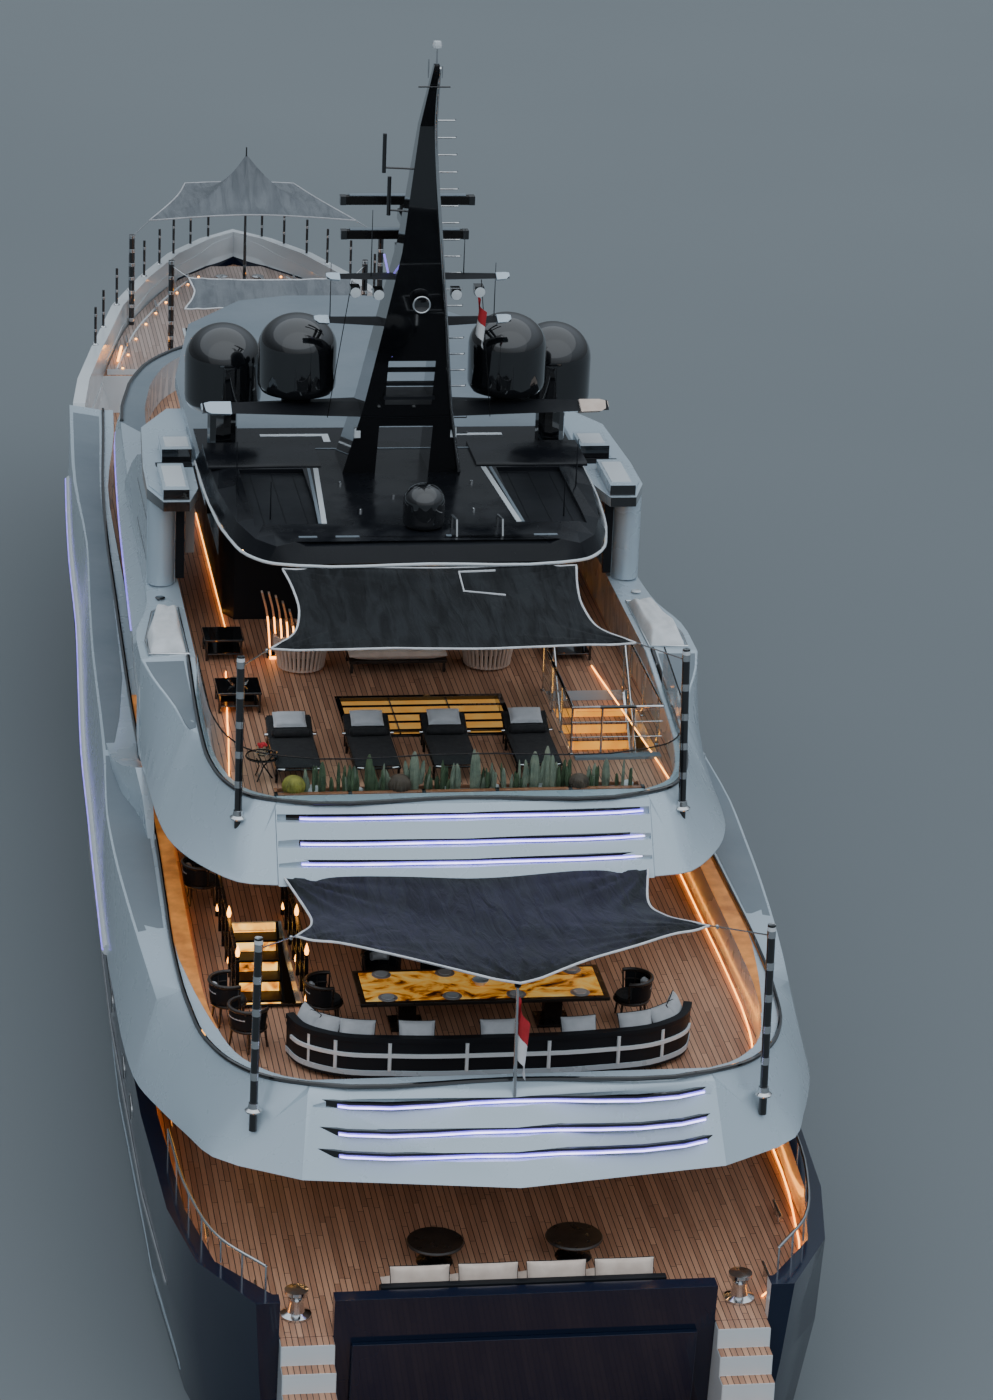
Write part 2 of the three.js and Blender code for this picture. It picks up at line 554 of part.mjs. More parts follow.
// Silver sides of the bridge deck, carried round its front. The last row is on the centreline.
// Columns: inner face x, y; degrees its outside is turned from starboard towards the bow; top z;
// distances outwards of the top, the light band and the lower edge; z of the lower edge
const BRIDGE_SIDE = [
  [4.35, -12.2, 0, 9.36, 1.04, 1.07, 1.07, 7.35],
  [4.35, -10.6, 0, 9.36, 1.02, 1.06, 1.0, 7.35],
  [4.35, -9.4, 0, 9.36, 0.75, 1.0, 0.86, 7.42],
  [4.35, -8.1, 0, 9.36, 0.65, 0.96, 0.76, 7.52],
  [4.35, -4.5, 0, 9.3, 0.6, 0.86, 0.68, 7.58],
  [4.3, -0.7, 2, 9.24, 0.57, 0.78, 0.6, 7.6],
  [4.2, 3.4, 4, 9.2, 0.55, 0.68, 0.5, 7.65],
  [4.02, 5.3, 10, 9.2, 0.52, 0.62, 0.45, 7.7],
  [3.7, 6.9, 22, 9.2, 0.5, 0.6, 0.42, BRIDGE_Z - SLAB],
  [3.15, 8.2, 40, 9.2, 0.48, 0.58, 0.4, BRIDGE_Z - SLAB],
  [2.3, 9.2, 60, 9.2, 0.46, 0.56, 0.38, BRIDGE_Z - SLAB],
  [1.2, 9.85, 80, 9.2, 0.45, 0.55, 0.37, BRIDGE_Z - SLAB],
  [0.0, 10.05, 90, 9.2, 0.45, 0.55, 0.37, BRIDGE_Z - SLAB],
];
const BAND_Z = [8.4, 8.75]; // the rounded band that holds the side light
// The covered locker in each side: half outline of its pocket, and its floor
const LOCKER = {
  outline: [[4.5, -12.0], [5.2, -12.0], [5.22, -11.3], [4.98, -9.7], [4.85, -9.5], [4.5, -9.45]],
  floor: 8.9,
};
// The wall beneath the roof's side wing. Columns: y, top z
const SIDE_WALL = {
  x: [4.42, 4.98],
  low: 9.1,
  rows: [[-7.9, 11.1 - GAP], [-5.0, 11.1 - GAP], [-3.4, 10.4], [-1.3, 9.3]],
};

function bridgeSide(side) {
  const under = BRIDGE_Z - SLAB;
  const rings = fair(BRIDGE_SIDE).map(([x, y, degrees, top, wide, band, low, zLow], i) => {
    const turn = (degrees * Math.PI) / 180;
    const section = [
      [0, under], [0, top], [wide, top - 0.04], [wide, 8.95], [band, BAND_Z[1]], [band, BAND_Z[0]],
      [low, 8.1], [low, zLow], [0.15, under],
    ];
    return section.map(([out, z]) => [
      side * Math.max(x + GAP + out * Math.cos(turn), GAP), y + (i ? 0 : GAP) + out * Math.sin(turn), z,
    ]);
  });
  const pocket = [LOCKER.floor, 10].map((z) => LOCKER.outline.map(([x, y]) => [side * x, y, z]));
  const [inner, outer] = SIDE_WALL.x.map((x) => side * x);
  const wall = SIDE_WALL.rows.map(([y, top]) => [
    [inner, y, SIDE_WALL.low], [outer, y, SIDE_WALL.low], [outer, y, top], [inner, y, top],
  ]);
  return join(cut(loft(rings), loft(pocket)), loft(wall));
}

// The buttress each side that rises from the upper deck's bulwark to the bridge deck's.
// Columns: y, inner x, outer x, top z
const BUTTRESS = [
  [-9.4, 5.35, 5.88, 6.56],
  [-10.8, 5.34, 5.84, 6.74],
  [-12.0, 5.3, 5.72, 7.08],
  [-12.75, 5.24, 5.52, 7.33],
  [-13.3, 5.22, 5.42, 6.95],
  [-14.1, 5.24, 5.36, 6.36],
];

function buttress(side) {
  return loft(BUTTRESS.map(([y, inner, outer, top]) => [
    [inner, y, 6.2], [outer, y, 6.2], [outer, y, top], [inner, y, top],
  ].map(([x, along, z]) => [side * x, along, z])));
}

// Stairs: treads between two stringers, from a foot to a head
function stairs([x0, x1], [yFoot, zFoot], [yHead, zHead], count) {
  const pieces = [];
  for (let i = 0; i < count; i += 1) {
    const y = blend(yFoot, yHead, i / count);
    const z = blend(zFoot, zHead, (i + 1) / count);
    const run = (yHead - yFoot) / count;
    pieces.push(box([x0, x1], [y, Math.min(y + run * 1.15, yHead)], [z - 0.07, z]));
  }
  const [thick, tall] = [0.06, 0.32];
  const end = (x, y, low) => [
    [x, y, low], [x + thick, y, low], [x + thick, y, low + tall], [x, y, low + tall],
  ];
  for (const x of [x0, x1 - thick]) pieces.push(loft([end(x, yFoot, zFoot), end(x, yHead, zHead - tall)]));
  return join(pieces);
}

// Roof
const ROOF_JOINT_Y = -6.45; // where the black hardtop meets the silver wheelhouse roof
const HARDTOP = [
  [2.5, -12.85], [3.05, -12.65], [3.4, -12.2], [3.66, -11.2], [3.86, -9.2], [3.92, ROOF_JOINT_Y],
];
const WHEELHOUSE_ROOF = [[3.9, ROOF_JOINT_Y + GAP], [3.9, -1.0], [3.3, 3.0], [2.0, 4.9], [0.9, 5.3]];

// The wing each side of the roof, and the blocks on it.
// Columns of rows: y, inner x, outer x, top z. Columns of blocks: x, y, top z
const ROOF_WING = {
  low: 11.1,
  rows: [
    [-2.5, 3.85, 4.2, 11.3],
    [-4.0, 3.85, 4.84, 11.36],
    [-6.35, 3.85, 4.97, 11.34],
    [-6.55, 3.97, 4.98, 11.34],
    [-7.9, 3.97, 4.99, 11.32],
    [-8.7, 4.2, 4.72, 11.3],
  ],
  blocks: [[[3.97, 4.58], [-6.3, -5.35], 11.62], [[4.2, 4.72], [-8.6, -6.9], 11.52]],
};

function hardtop() {
  const widened = (by) => HARDTOP.map(([x, y], i) => [x - by, i === 0 ? y + by : y]);
  const level = (by, z) => widened(by).map(([x, y]) => [x, y, z]);
  const body = stack([
    level(0.35, ROOF_UNDER_Z), level(0, ROOF_UNDER_Z + 0.12), level(0.15, ROOF_Z - 0.08), level(0.5, ROOF_Z),
  ]);
  const panel = (side) => box(spread(side, [1.94, 3.2]), [-11.6, -8.2], [ROOF_Z - 0.1, ROOF_Z + 1]);
  return cut(body, panel(-1), panel(1));
}

function wheelhouseRoof() {
  const roof = slab(WHEELHOUSE_ROOF, ROOF_UNDER_Z, ROOF_Z - 0.25);
  const wings = SIDES.map(([, side]) => join(
    loft(ROOF_WING.rows.map(([y, inner, outer, top]) => [
      [inner, y, ROOF_WING.low], [outer, y, ROOF_WING.low], [outer, y, top], [inner, y, top],
    ].map(([x, along, z]) => [side * x, along, z]))),
    ROOF_WING.blocks.map(([x, y, top]) => box(spread(side, x), y, [ROOF_WING.low + 0.1, top])),
  ));
  return join(roof, wings, radomeSeats(RADOME_OUTER, 11.4));
}

// The short post under a dome each side
function radomeSeats({ x, y, z }, foot) {
  return SIDES.map(([, side]) => post([side * x, y, foot], [side * x, y, z - GAP], 0.3, 0.3, 12));
}

// Mast: stations of the raked tower
const TOWER = [
  // z, front y, back y, half-breadth
  [ROOF_Z + GAP, -7.2, -8.5, 1.18],
  [13.3, -7.9, -9.1, 0.88],
  [15.1, -8.7, -9.8, 0.62],
  [16.8, -9.6, -10.4, 0.38],
  [19.3, -10.35, -10.65, 0.15],
  [20.67, -11.45, -11.6, 0.05],
];
const WINGS = [
  // z at the centre, z at the tip, centre y, half-span, chord at the centre and the tip, thickness, sweep
  [13.1, 13.25, -8.3, 4.0, 1.5, 0.6, 0.22, 0.5],
  [15.08, 15.2, -9.17, 1.9, 0.8, 0.4, 0.12, 0.2],
  [16.15, 16.2, -9.7, 1.75, 0.6, 0.35, 0.1, 0.2],
];
const RADOME_RADIUS = 0.775;
const RADOME_INNER = { x: 2.08, y: -8.1, z: 13.36, top: 14.95 };
const RADOME_OUTER = { x: 3.35, y: -6.1, z: 12.45, top: 14.18 };
const SCANNERS = [
  // name, z of the turning gear's foot, y, half-length
  ["lower", 16.25, -7.85, 1.2],
  ["upper", 17.0, -8.1, 1.26],
];

function mastWing([z, zTip, y, half, chord, tip, thick, sweep]) {
  return loft([-1, -0.5, 0, 0.5, 1].map((t) => {
    const out = Math.abs(t);
    const [up, long, along] = [blend(z, zTip, out), blend(chord, tip, out), y - sweep * out];
    const section = [[-long / 2, 0], [0, -thick / 2], [long / 2, 0], [0, thick / 2]];
    return section.map(([fore, rise]) => [half * t, along + fore, up + rise]);
  }));
}

function mast() {
  const tower = loft(TOWER.map(([z, front, back, half]) => [
    [-half, back, z], [half, back, z], [half, front, z], [-half, front, z],
  ]));
  const arms = SCANNERS.map(([, z, y]) => box([-0.16, 0.16], [-9.9, y + 0.25], [z - 0.2, z]));
  const openings = [
    box([-0.53, 0.53], [-12, -5], [ROOF_Z - 1, 12.9]),
    box([-0.46, 0.46], [-12, -5], [13.4, 14.4]),
  ];
  return join(cut(tower, openings), WINGS.map(mastWing), radomeSeats(RADOME_INNER, 13.1), arms);
}

function scanner(z, y, half) {
  const gear = post([0, y, z + GAP], [0, y, z + 0.16], 0.16, 0.14, 12);
  return join(gear, box([-half, half], [y - 0.08, y + 0.08], [z + 0.15, z + 0.32]));
}

function radome({ x, y, z, top }, side, radius = RADOME_RADIUS) {
  const high = top - z;
  const profile = [[0, z], [radius * 0.8, z], [radius, z + high * 0.12], [radius, z + high * 0.62]];
  for (let i = 1; i <= 5; i += 1) {
    const a = (i * Math.PI) / 10;
    profile.push([i === 5 ? 0 : radius * Math.cos(a), z + high * (0.62 + 0.38 * Math.sin(a))]);
  }
  return turned(profile, side * x, y, 20);
}

// Poles that carry the awnings. Columns: name, x, y, foot z, top x, top y, top z
const POLES = {
  bridge: [4.05, -17.95, 8.1, 4.02, -17.65, 11.4],
  upper: [4.35, -24.5, 5.5, 4.31, -24.45, 9.0],
  fore: [2.5, 17.9, FOREDECK_Z + 0.1, 2.5, 17.9, 8.95],
  bow: [3.3, 21.0, FOREDECK_Z + 0.1, 3.3, 21.0, 8.8],
};
const POLE_RADIUS = 0.075;

function pole(name, side, radius = POLE_RADIUS) {
  const [x, y, z, xTop, yTop, zTop] = POLES[name];
  return post([side * x, y, z], [side * xTop, yTop, zTop], radius, radius, 12);
}

// Awnings: rows from the forward edge to the aft one.
// Columns: y at the middle, y at the edge, half-breadth, z at the edge, z at the middle
const AWNING_BRIDGE = [
  [-12.9, -12.9, 2.8, 11.36, 11.36],
  [-13.8, -13.8, 2.68, 11.22, 11.24],
  [-14.6, -14.6, 2.66, 11.1, 11.14],
  [-15.5, -15.6, 2.9, 11.02, 11.02],
  [-16.2, -16.32, 3.36, 11.04, 10.95],
];
const AWNING_UPPER = [
  [-19.0, -18.8, 3.3, 7.63, 7.63],
  [-20.4, -20.2, 3.2, 7.6, 7.6],
  [-22.0, -21.6, 3.3, 7.9, 7.8],
  [-24.6, -23.0, 3.9, 8.4, 8.2],
];
const AWNING_FORE = [
  [17.3, 17.3, 2.1, 8.65, 8.6],
  [16.7, 16.7, 2.0, 8.45, 8.45],
  [16.0, 16.0, 2.3, 8.2, 8.25],
];
const ACROSS = 8; // panels across an awning
const CLOTH = 0.03;
const LINE = 0.02; // radius of an awning's tie line

// A sheet of cloth whose chosen corners are tied to the poles of one pair at a height
function awning(rows, ties) {
  const cloth = sheet(rows.map(([yMiddle, yEdge, half, zEdge, zMiddle]) => {
    const points = [];
    for (let i = 0; i <= ACROSS; i += 1) {
      const t = (2 * i) / ACROSS - 1;
      points.push([half * t, blend(yMiddle, yEdge, t * t), blend(zMiddle, zEdge, t * t)]);
    }
    return points;
  }), CLOTH);
  return ties.reduce((made, [row, poles, height]) => {
    const [, yCorner, half, zCorner] = rows[row];
    return tied(made, [half - 0.05, yCorner + (row ? 0.05 : -0.05), zCorner - CLOTH / 2], poles, height);
  }, cloth);
}

// Adds a tie line each side from an awning's corner to its pole
function tied(cloth, [x, y, z], poles, height) {
  const [xFoot, yFoot, zFoot, xTop, yTop, zTop] = POLES[poles];
  const [xEnd, yEnd] = between([xFoot, yFoot], [xTop, yTop], (height - zFoot) / (zTop - zFoot));
  const lines = SIDES.map(([, side]) => post([side * x, y, z], [side * xEnd, yEnd, height], LINE, LINE, 6));
  return cut(join(cloth, lines), SIDES.map(([, side]) => pole(poles, side, POLE_RADIUS + GAP)));
}

// The pointed awning on the bow: a peak with sides that fall to its hem
function peakedAwning() {
  const [peak, rim] = [[0, 24.3, 10.1], []];
  const corners = [[-2.76, 22.2, 8.85], [2.76, 22.2, 8.85], [1.5, 26.2, 8.9], [-1.5, 26.2, 8.9]];
  corners.forEach((corner, i) => {
    const next = corners[(i + 1) % corners.length];
    const middle = between(corner, next, 0.5);
    rim.push(corner, between(middle, [0, 24.2, 8.9], 0.12));
  });
  const inner = rim.map((p) => [blend(p[0], peak[0], 0.6), blend(p[1], peak[1], 0.6), 9.25]);
  const faces = [];
  const lower = (p) => [p[0], p[1], p[2] - CLOTH];
  rim.forEach((p, i) => {
    const j = (i + 1) % rim.length;
    const upper = [...quad(p, rim[j], inner[j], inner[i]), [inner[i], inner[j], peak]];
    faces.push(...upper, ...upper.map(([a, b, c]) => [lower(a), lower(c), lower(b)]));
    faces.push(...quad(lower(p), lower(rim[j]), rim[j], p));
  });
  return cut(tied(fromFaces(faces), [2.7, 22.25, 8.83], "bow", 8.7), bowPole(GAP));
}

const bowPole = (more) => post([0, 24.3, FOREDECK_Z + 0.1], [0, 24.3, 10.35], 0.05 + more, 0.02 + more, 8);

// Furniture
const LOUNGERS = [-2.8, -1.35, 0.1, 1.65]; // x of each, feet to the stern
const LOUNGER = { half: 0.43, foot: -16.45, head: -14.4, top: 0.34 };

function lounger(x) {
  const { half, foot, head, top } = LOUNGER;
  const z = BRIDGE_Z + GAP;
  const bed = box([x - half, x + half], [foot, head - 0.5], [z, z + top]);
  const section = (y, low, high) => [
    [x - half, y, low], [x + half, y, low], [x + half, y, high], [x - half, y, high],
  ];
  return join(bed, loft([section(head - 0.55, z, z + top), section(head, z + 0.1, z + top + 0.22)]));
}

function armchair(x) {
  const z = BRIDGE_Z + GAP;
  const profile = [[0, z], [0.42, z], [0.52, z + 0.7], [0.4, z + 0.7], [0.36, z + 0.42], [0, z + 0.42]];
  return turned(profile, x, -10.35, 16);
}

const bench = () => box([-1.22, 0.7], [-10.8, -10.0], [BRIDGE_Z + GAP, BRIDGE_Z + 0.45]);
const planter = () => box([-3.35, 3.35], [-17.72, -17.3], [BRIDGE_Z + GAP, BRIDGE_Z + 0.34]);

function diningTable() {
  const z = UPPER_Z + GAP;
  const top = box([-2.2, 2.2], [-21.5, -20.1], [z + 0.68, z + 0.75]);
  const feet = [-1.3, 1.3].map((x) => box([x - 0.3, x + 0.3], [-21.1, -20.5], [z, z + 0.7]));
  return join(top, feet);
}

// The curved sofa: the line of its back, and its section as distances inwards and upwards
const SOFA = {
  line: [
    [-3.45, -21.95], [-3.28, -22.42], [-2.8, -22.8], [-1.7, -23.02], [0, -23.08], [1.7, -23.02], [2.8, -22.8],
    [3.28, -22.42], [3.45, -21.95],
  ],
  section: [[0, 0], [0, 0.84], [0.12, 0.84], [0.14, 0.44], [0.72, 0.44], [0.72, 0]],
};

function aftSofa() {
  const line = fair(SOFA.line, 2);
  return loft(line.map(([x, y], i) => {
    const [a, b] = [line[Math.max(i - 1, 0)], line[Math.min(i + 1, line.length - 1)]];
    const long = Math.hypot(b[0] - a[0], b[1] - a[1]);
    const [across, along] = [(a[1] - b[1]) / long, (b[0] - a[0]) / long];
    return SOFA.section.map(([out, up]) => [x + across * out, y + along * out, UPPER_Z + GAP + up]);
  }));
}

// Foredeck: teak deck with coaming, the sunken forward well and the posts of its awnings
function foredeck() {
  const z = FOREDECK_Z + GAP;
  const deck = slab(fair([[4.2, 16.9], [3.5, 20.5], [2.6, 23.3], [1.7, 25.4], [0.7, 26.8]]), z, z + 0.15);
  const posts = ["fore", "bow"].flatMap((name) => SIDES.map(([, side]) => pole(name, side)));
  return join(deck, posts, bowPole(0));
}

function ensignStaff(seat) {
  return cut(post([0, -24.84, 6.15], [0, -24.7, 8.1], 0.035, 0.025, 8), moved(seat, 0, 0, GAP));
}

// The lower transom door, hinged along its top edge
const TRANSOM_DOOR = { x: 2.9, z: [0.8, 2.75], thick: 0.12, clear: GAP };

function transomDoor() {
  const { x, z, thick, clear } = TRANSOM_DOOR;
  const [yKeel, ySheer, zKeel] = HULL[0];
  const transomAt = (height) => blend(yKeel, ySheer, (height - zKeel) / (HULL[0][8] - zKeel)) - clear;
  const edge = (height) => [transomAt(height), transomAt(height) - thick].map((y) => [y, height]);
  const [[lowIn, lowOut], [highIn, highOut]] = z.map(edge);
  const section = [lowIn, lowOut, highOut, highIn];
  return loft([-x, x].map((across) => section.map(([y, height]) => [across, y, height])));
}

const hullSolid = hull();
add("hull", hullSolid, NAVY);
add("swim_platform", swimPlatform(hullSolid), TEAK);
add("transom_door", transomDoor(), NAVY);
const quarters = (rows, floor) => SIDES.map(([, side]) => quarter(rows, floor - SLAB, side));
const upperBulwarks = quarters(UPPER_SHELL, UPPER_Z).map((made, i) => join(made, buttress(SIDES[i][1])));
const bridgeBulwarks = quarters(BRIDGE_SHELL, BRIDGE_Z);
add("forward_shell", forwardShell(upperBulwarks), SILVER);
SIDES.forEach(([name, side], i) => {
  add("shaft_line_" + name, shaftLine(side, hullSolid), STEEL);
  add("propeller_" + name, propeller(side), BRONZE);
  add("rudder_" + name, rudder(side), NAVY);
  add("stabiliser_fin_" + name, stabiliserFin(side), NAVY);
  for (const [deck, bulwarks] of [["upper", upperBulwarks], ["bridge", bridgeBulwarks]]) {
    add(deck + "_bulwark_" + name, bulwarks[i], SILVER);
    add("awning_pole_" + deck + "_" + name, cut(pole(deck, side), moved(bulwarks[i], 0, 0, GAP)), STEEL);
  }
  add("bridge_side_" + name, bridgeSide(side), SILVER);
  add("radome_inner_" + name, radome(RADOME_INNER, side), BLACK);
  add("radome_outer_" + name, radome(RADOME_OUTER, side), BLACK);
});
add("main_house", mainHouse(), SILVER);
add("upper_house", upperHouse(), SILVER);
add("bridge_house", bridgeHouse(), SILVER);
add("upper_saloon_door", slidingDoor(-11.6, UPPER_Z, 7.75), GLASS);
add("bridge_saloon_door", slidingDoor(-7.6, BRIDGE_Z, 10.85), GLASS);
add("upper_deck", upperDeck(), TEAK);
add("upper_deck_aft", upperDeckAft(), TEAK);
add("bridge_deck", bridgeDeck(), TEAK);
const upperFascia = fascia(UPPER_SHELL, UPPER_Z - SLAB, UPPER_SLOTS);
const bridgeFascia = fascia(BRIDGE_SHELL, BRIDGE_Z - SLAB, BRIDGE_SLOTS);
add("upper_fascia", upperFascia, SILVER);
add("bridge_fascia", bridgeFascia, SILVER);
add("ensign_staff", ensignStaff(upperFascia), STEEL);
add("main_stair", stairs([-4.1, -3.1], [-19.8, MAIN_Z + GAP], [-16.2 - GAP, UPPER_Z], 10), GLASS);
add("bridge_stair", stairs([2.55, 4.05], [-15.1, UPPER_Z + GAP], [-11.9 - GAP, BRIDGE_Z], 11), STEEL);
const roof = hardtop();
add("hardtop", roof, BLACK);
add("wheelhouse_roof", wheelhouseRoof(), SILVER);
add("mast", mast(), BLACK);
for (const [name, z, y, half] of SCANNERS) add("radar_scanner_" + name, scanner(z, y, half), BLACK);
add("radome_small", radome({ x: 0, y: -11.8, z: ROOF_Z + GAP, top: ROOF_Z + 0.85 }, 1, 0.4), BLACK);
add("awning_bridge", cut(awning(AWNING_BRIDGE, [[4, "bridge", 11.2]]), moved(roof, 0, -GAP, 0)), CANVAS);
add("awning_upper", cut(awning(AWNING_UPPER, [[3, "upper", 8.8]]), moved(bridgeFascia, 0, -GAP, 0)), CANVAS);
add("awning_fore", awning(AWNING_FORE, [[0, "fore", 8.8]]), PALE_CANVAS);
add("awning_bow", peakedAwning(), PALE_CANVAS);
LOUNGERS.forEach((x, i) => add("lounger_" + (i + 1), lounger(x), CUSHION));
add("armchair_port", armchair(-2.13), CUSHION);
add("armchair_starboard", armchair(1.56), CUSHION);
add("bench", bench(), CUSHION);
add("planter", planter(), PLANTS);
add("dining_table", diningTable(), DARK_WOOD);
add("aft_sofa", aftSofa(), CUSHION);
add("foredeck", foredeck(), TEAK);

export default yacht;
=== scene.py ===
"""Looks of the half-scale motor yacht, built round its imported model.

Sizes and places are the full-size ship's, in metres, as the part's own source gives them: x to
starboard, y to the bow, z up from the waterline. SHIP turns one metre of the ship into the model's.
"""
import json
import math
import random
from functools import partial

import bmesh
import bpy
from mathutils import Matrix, Vector
from mathutils.bvhtree import BVHTree

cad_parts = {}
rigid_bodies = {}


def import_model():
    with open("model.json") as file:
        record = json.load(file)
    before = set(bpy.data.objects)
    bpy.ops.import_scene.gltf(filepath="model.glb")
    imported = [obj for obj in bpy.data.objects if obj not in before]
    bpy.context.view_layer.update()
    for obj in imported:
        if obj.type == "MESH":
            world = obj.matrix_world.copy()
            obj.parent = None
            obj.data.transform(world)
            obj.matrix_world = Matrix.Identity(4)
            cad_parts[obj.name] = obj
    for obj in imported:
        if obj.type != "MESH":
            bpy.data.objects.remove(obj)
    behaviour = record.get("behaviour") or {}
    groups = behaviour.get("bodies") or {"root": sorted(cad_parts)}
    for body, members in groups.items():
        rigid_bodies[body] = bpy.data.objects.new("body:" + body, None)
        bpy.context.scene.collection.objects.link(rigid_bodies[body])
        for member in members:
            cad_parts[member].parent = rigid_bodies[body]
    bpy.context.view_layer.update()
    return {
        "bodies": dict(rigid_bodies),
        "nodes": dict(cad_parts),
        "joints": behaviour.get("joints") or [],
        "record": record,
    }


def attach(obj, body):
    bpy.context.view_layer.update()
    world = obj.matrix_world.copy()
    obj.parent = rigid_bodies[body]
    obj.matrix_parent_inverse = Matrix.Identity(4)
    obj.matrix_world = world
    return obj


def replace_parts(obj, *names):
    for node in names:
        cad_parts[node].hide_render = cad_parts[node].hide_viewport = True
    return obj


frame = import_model()

SHIP = 0.5
YACHT = "yacht"
SIDES = (("port", -1), ("starboard", 1))
BOTH = (-1, 1)

# Deck heights
PLATFORM_Z = 0.7
MAIN_Z = 2.9
UPPER_Z = 5.6
BRIDGE_Z = 8.42
ROOF_UNDER_Z = 11.3
ROOF_Z = 11.8
ROOF_FORE_Z = 11.55
FOREDECK_Z = 6.35
ON_MAIN, ON_UPPER, ON_BRIDGE = (z + 0.002 for z in (MAIN_Z, UPPER_Z, BRIDGE_Z))  # furniture's feet
RAIL = 0.95
AXIS = 0.001  # radius at which a turned form closes

# The photograph's camera
EYE = (-10.954, -88.356, 37.891)
YAW, PITCH, ROLL = (math.radians(angle) for angle in (9.277, 20.936, 2.341))
PHOTO_HEIGHT = 1400
FOCAL_PIXELS = 4272
SENSOR = 36


# Numbers


def blend(a, b, t):
    return a + (b - a) * t


def between(p, q, t):
    return tuple(blend(a, b, t) for a, b in zip(p, q))


def mirrored(points, side):
    return [(side * p[0], *p[1:]) for p in points]


def arc(x, y, z, radius, start, end, count):
    """Points round a place at one height, in count steps from the start angle to the end angle."""
    return [(x + radius * math.cos(a), y + radius * math.sin(a), z)
            for a in (blend(start, end, k / count) for k in range(count + 1))]


def circle(x, y, z, radius, count):
    return arc(x, y, z, radius, 0, 2 * math.pi, count)[:-1]


def fair(rows, steps):
    """Rows of numbers between the given ones, on smooth lines through them."""
    reach = [0]
    for p, q in zip(rows, rows[1:]):
        reach.append(reach[-1] + max(math.dist(p, q), 1e-6))

    def slope(i, column):
        before, after = max(i - 1, 0), min(i + 1, len(rows) - 1)
        if before == i or after == i:
            return (rows[after][column] - rows[before][column]) / (reach[after] - reach[before])
        left = (rows[i][column] - rows[before][column]) / (reach[i] - reach[before])
        right = (rows[after][column] - rows[i][column]) / (reach[after] - reach[i])
        return blend(left, right, (reach[i] - reach[before]) / (reach[after] - reach[before]))

    made = []
    for i in range(len(rows) - 1):
        span = reach[i + 1] - reach[i]
        for s in range(steps):
            t = s / steps
            made.append(tuple(
                (2 * t ** 3 - 3 * t * t + 1) * rows[i][c] + (t ** 3 - 2 * t * t + t) * span * slope(i, c)
                + (3 * t * t - 2 * t ** 3) * rows[i + 1][c] + (t ** 3 - t * t) * span * slope(i + 1, c)
                for c in range(len(rows[0]))))
    return [*made, tuple(rows[-1])]


# Meshes


class Form:
    """The faces of one piece, gathered in ship metres. Each face keeps the index of its material."""

    def __init__(self):
        self.points, self.faces, self.marks = [], [], []

    def add(self, points, faces, mark=0):
        start = len(self.points)
        self.points.extend(tuple(p) for p in points)
        self.faces.extend(tuple(start + i for i in face) for face in faces)
        self.marks.extend([mark] * len(faces))

    def rings(self, rings, mark=0, loop=False):
        """Joins rings of equally many points, one after the other. A loop joins the last to the first."""
        count = len(rings[0])
        faces = []
        for r in range(len(rings) if loop else len(rings) - 1):
            after = (r + 1) % len(rings)
            for i in range(count):
                j = (i + 1) % count
                faces.append((r * count + i, r * count + j, after * count + j, after * count + i))
        if not loop:
            faces.append(tuple(reversed(range(count))))
            faces.append(tuple(range((len(rings) - 1) * count, len(rings) * count)))
        self.add([p for ring in rings for p in ring], faces, mark)

    def box(self, x, y, z, mark=0):
        """A box between pairs of values. The values of x may come in either order."""
        x = sorted(x)
        corners = ((0, 0), (1, 0), (1, 1), (0, 1))
        self.rings([[(x[i], y[j], height) for i, j in corners] for height in z], mark)

    def post(self, x, y, half, z, mark=0):
        """A square post about a place."""
        self.box((x - half, x + half), (y - half, y + half), z, mark)

    def prism(self, outline, low, high, mark=0):
        self.rings([[(x, y, z) for x, y in outline] for z in (low, high)], mark)

    def pipe(self, path, radius, sides=8, mark=0, closed=False, end_radius=None):
        """A round bar along a line of points."""
        points = [Vector(p) for p in path]
        last = len(points) - 1
        across = None
        made = []
        for i, p in enumerate(points):
            before = points[i - 1] if i or closed else p
            after = points[(i + 1) % len(points)] if i < last or closed else p
            along = (after - before).normalized()
            if across is None:
                across = along.orthogonal()
            across = (across - along * across.dot(along)).normalized()
            other = along.cross(across)
            r = radius if end_radius is None else blend(radius, end_radius, i / last)
            made.append([p + r * (across * math.cos(a) + other * math.sin(a))
                         for a in (2 * math.pi * k / sides for k in range(sides))])
        self.rings(made, mark, closed)

    def rod(self, start, end, radius, end_radius=None, sides=12, mark=0):
        self.pipe([start, end], radius, sides, mark, end_radius=radius if end_radius is None else end_radius)

    def upright(self, x, y, low, high, radius, end_radius=None, sides=12, mark=0):
        self.rod((x, y, low), (x, y, high), radius, end_radius, sides, mark)

    def turned(self, profile, centre, sides=32, mark=0, spin=None):
        """A turned form from (radius, height) points, closed level at an end that isn't on the axis. spin
        tilts it about its centre."""
        if profile[0][0] > AXIS:
            profile = [(AXIS, profile[0][1]), *profile]
        if profile[-1][0] > AXIS:
            profile = [*profile, (AXIS, profile[-1][1])]
        rings = []
        for r, h in profile:
            ring = [Vector(p) for p in circle(0, 0, h, r, sides)]
            rings.append([Vector(centre) + (spin @ p if spin else p) for p in ring])
        self.rings(rings, mark)


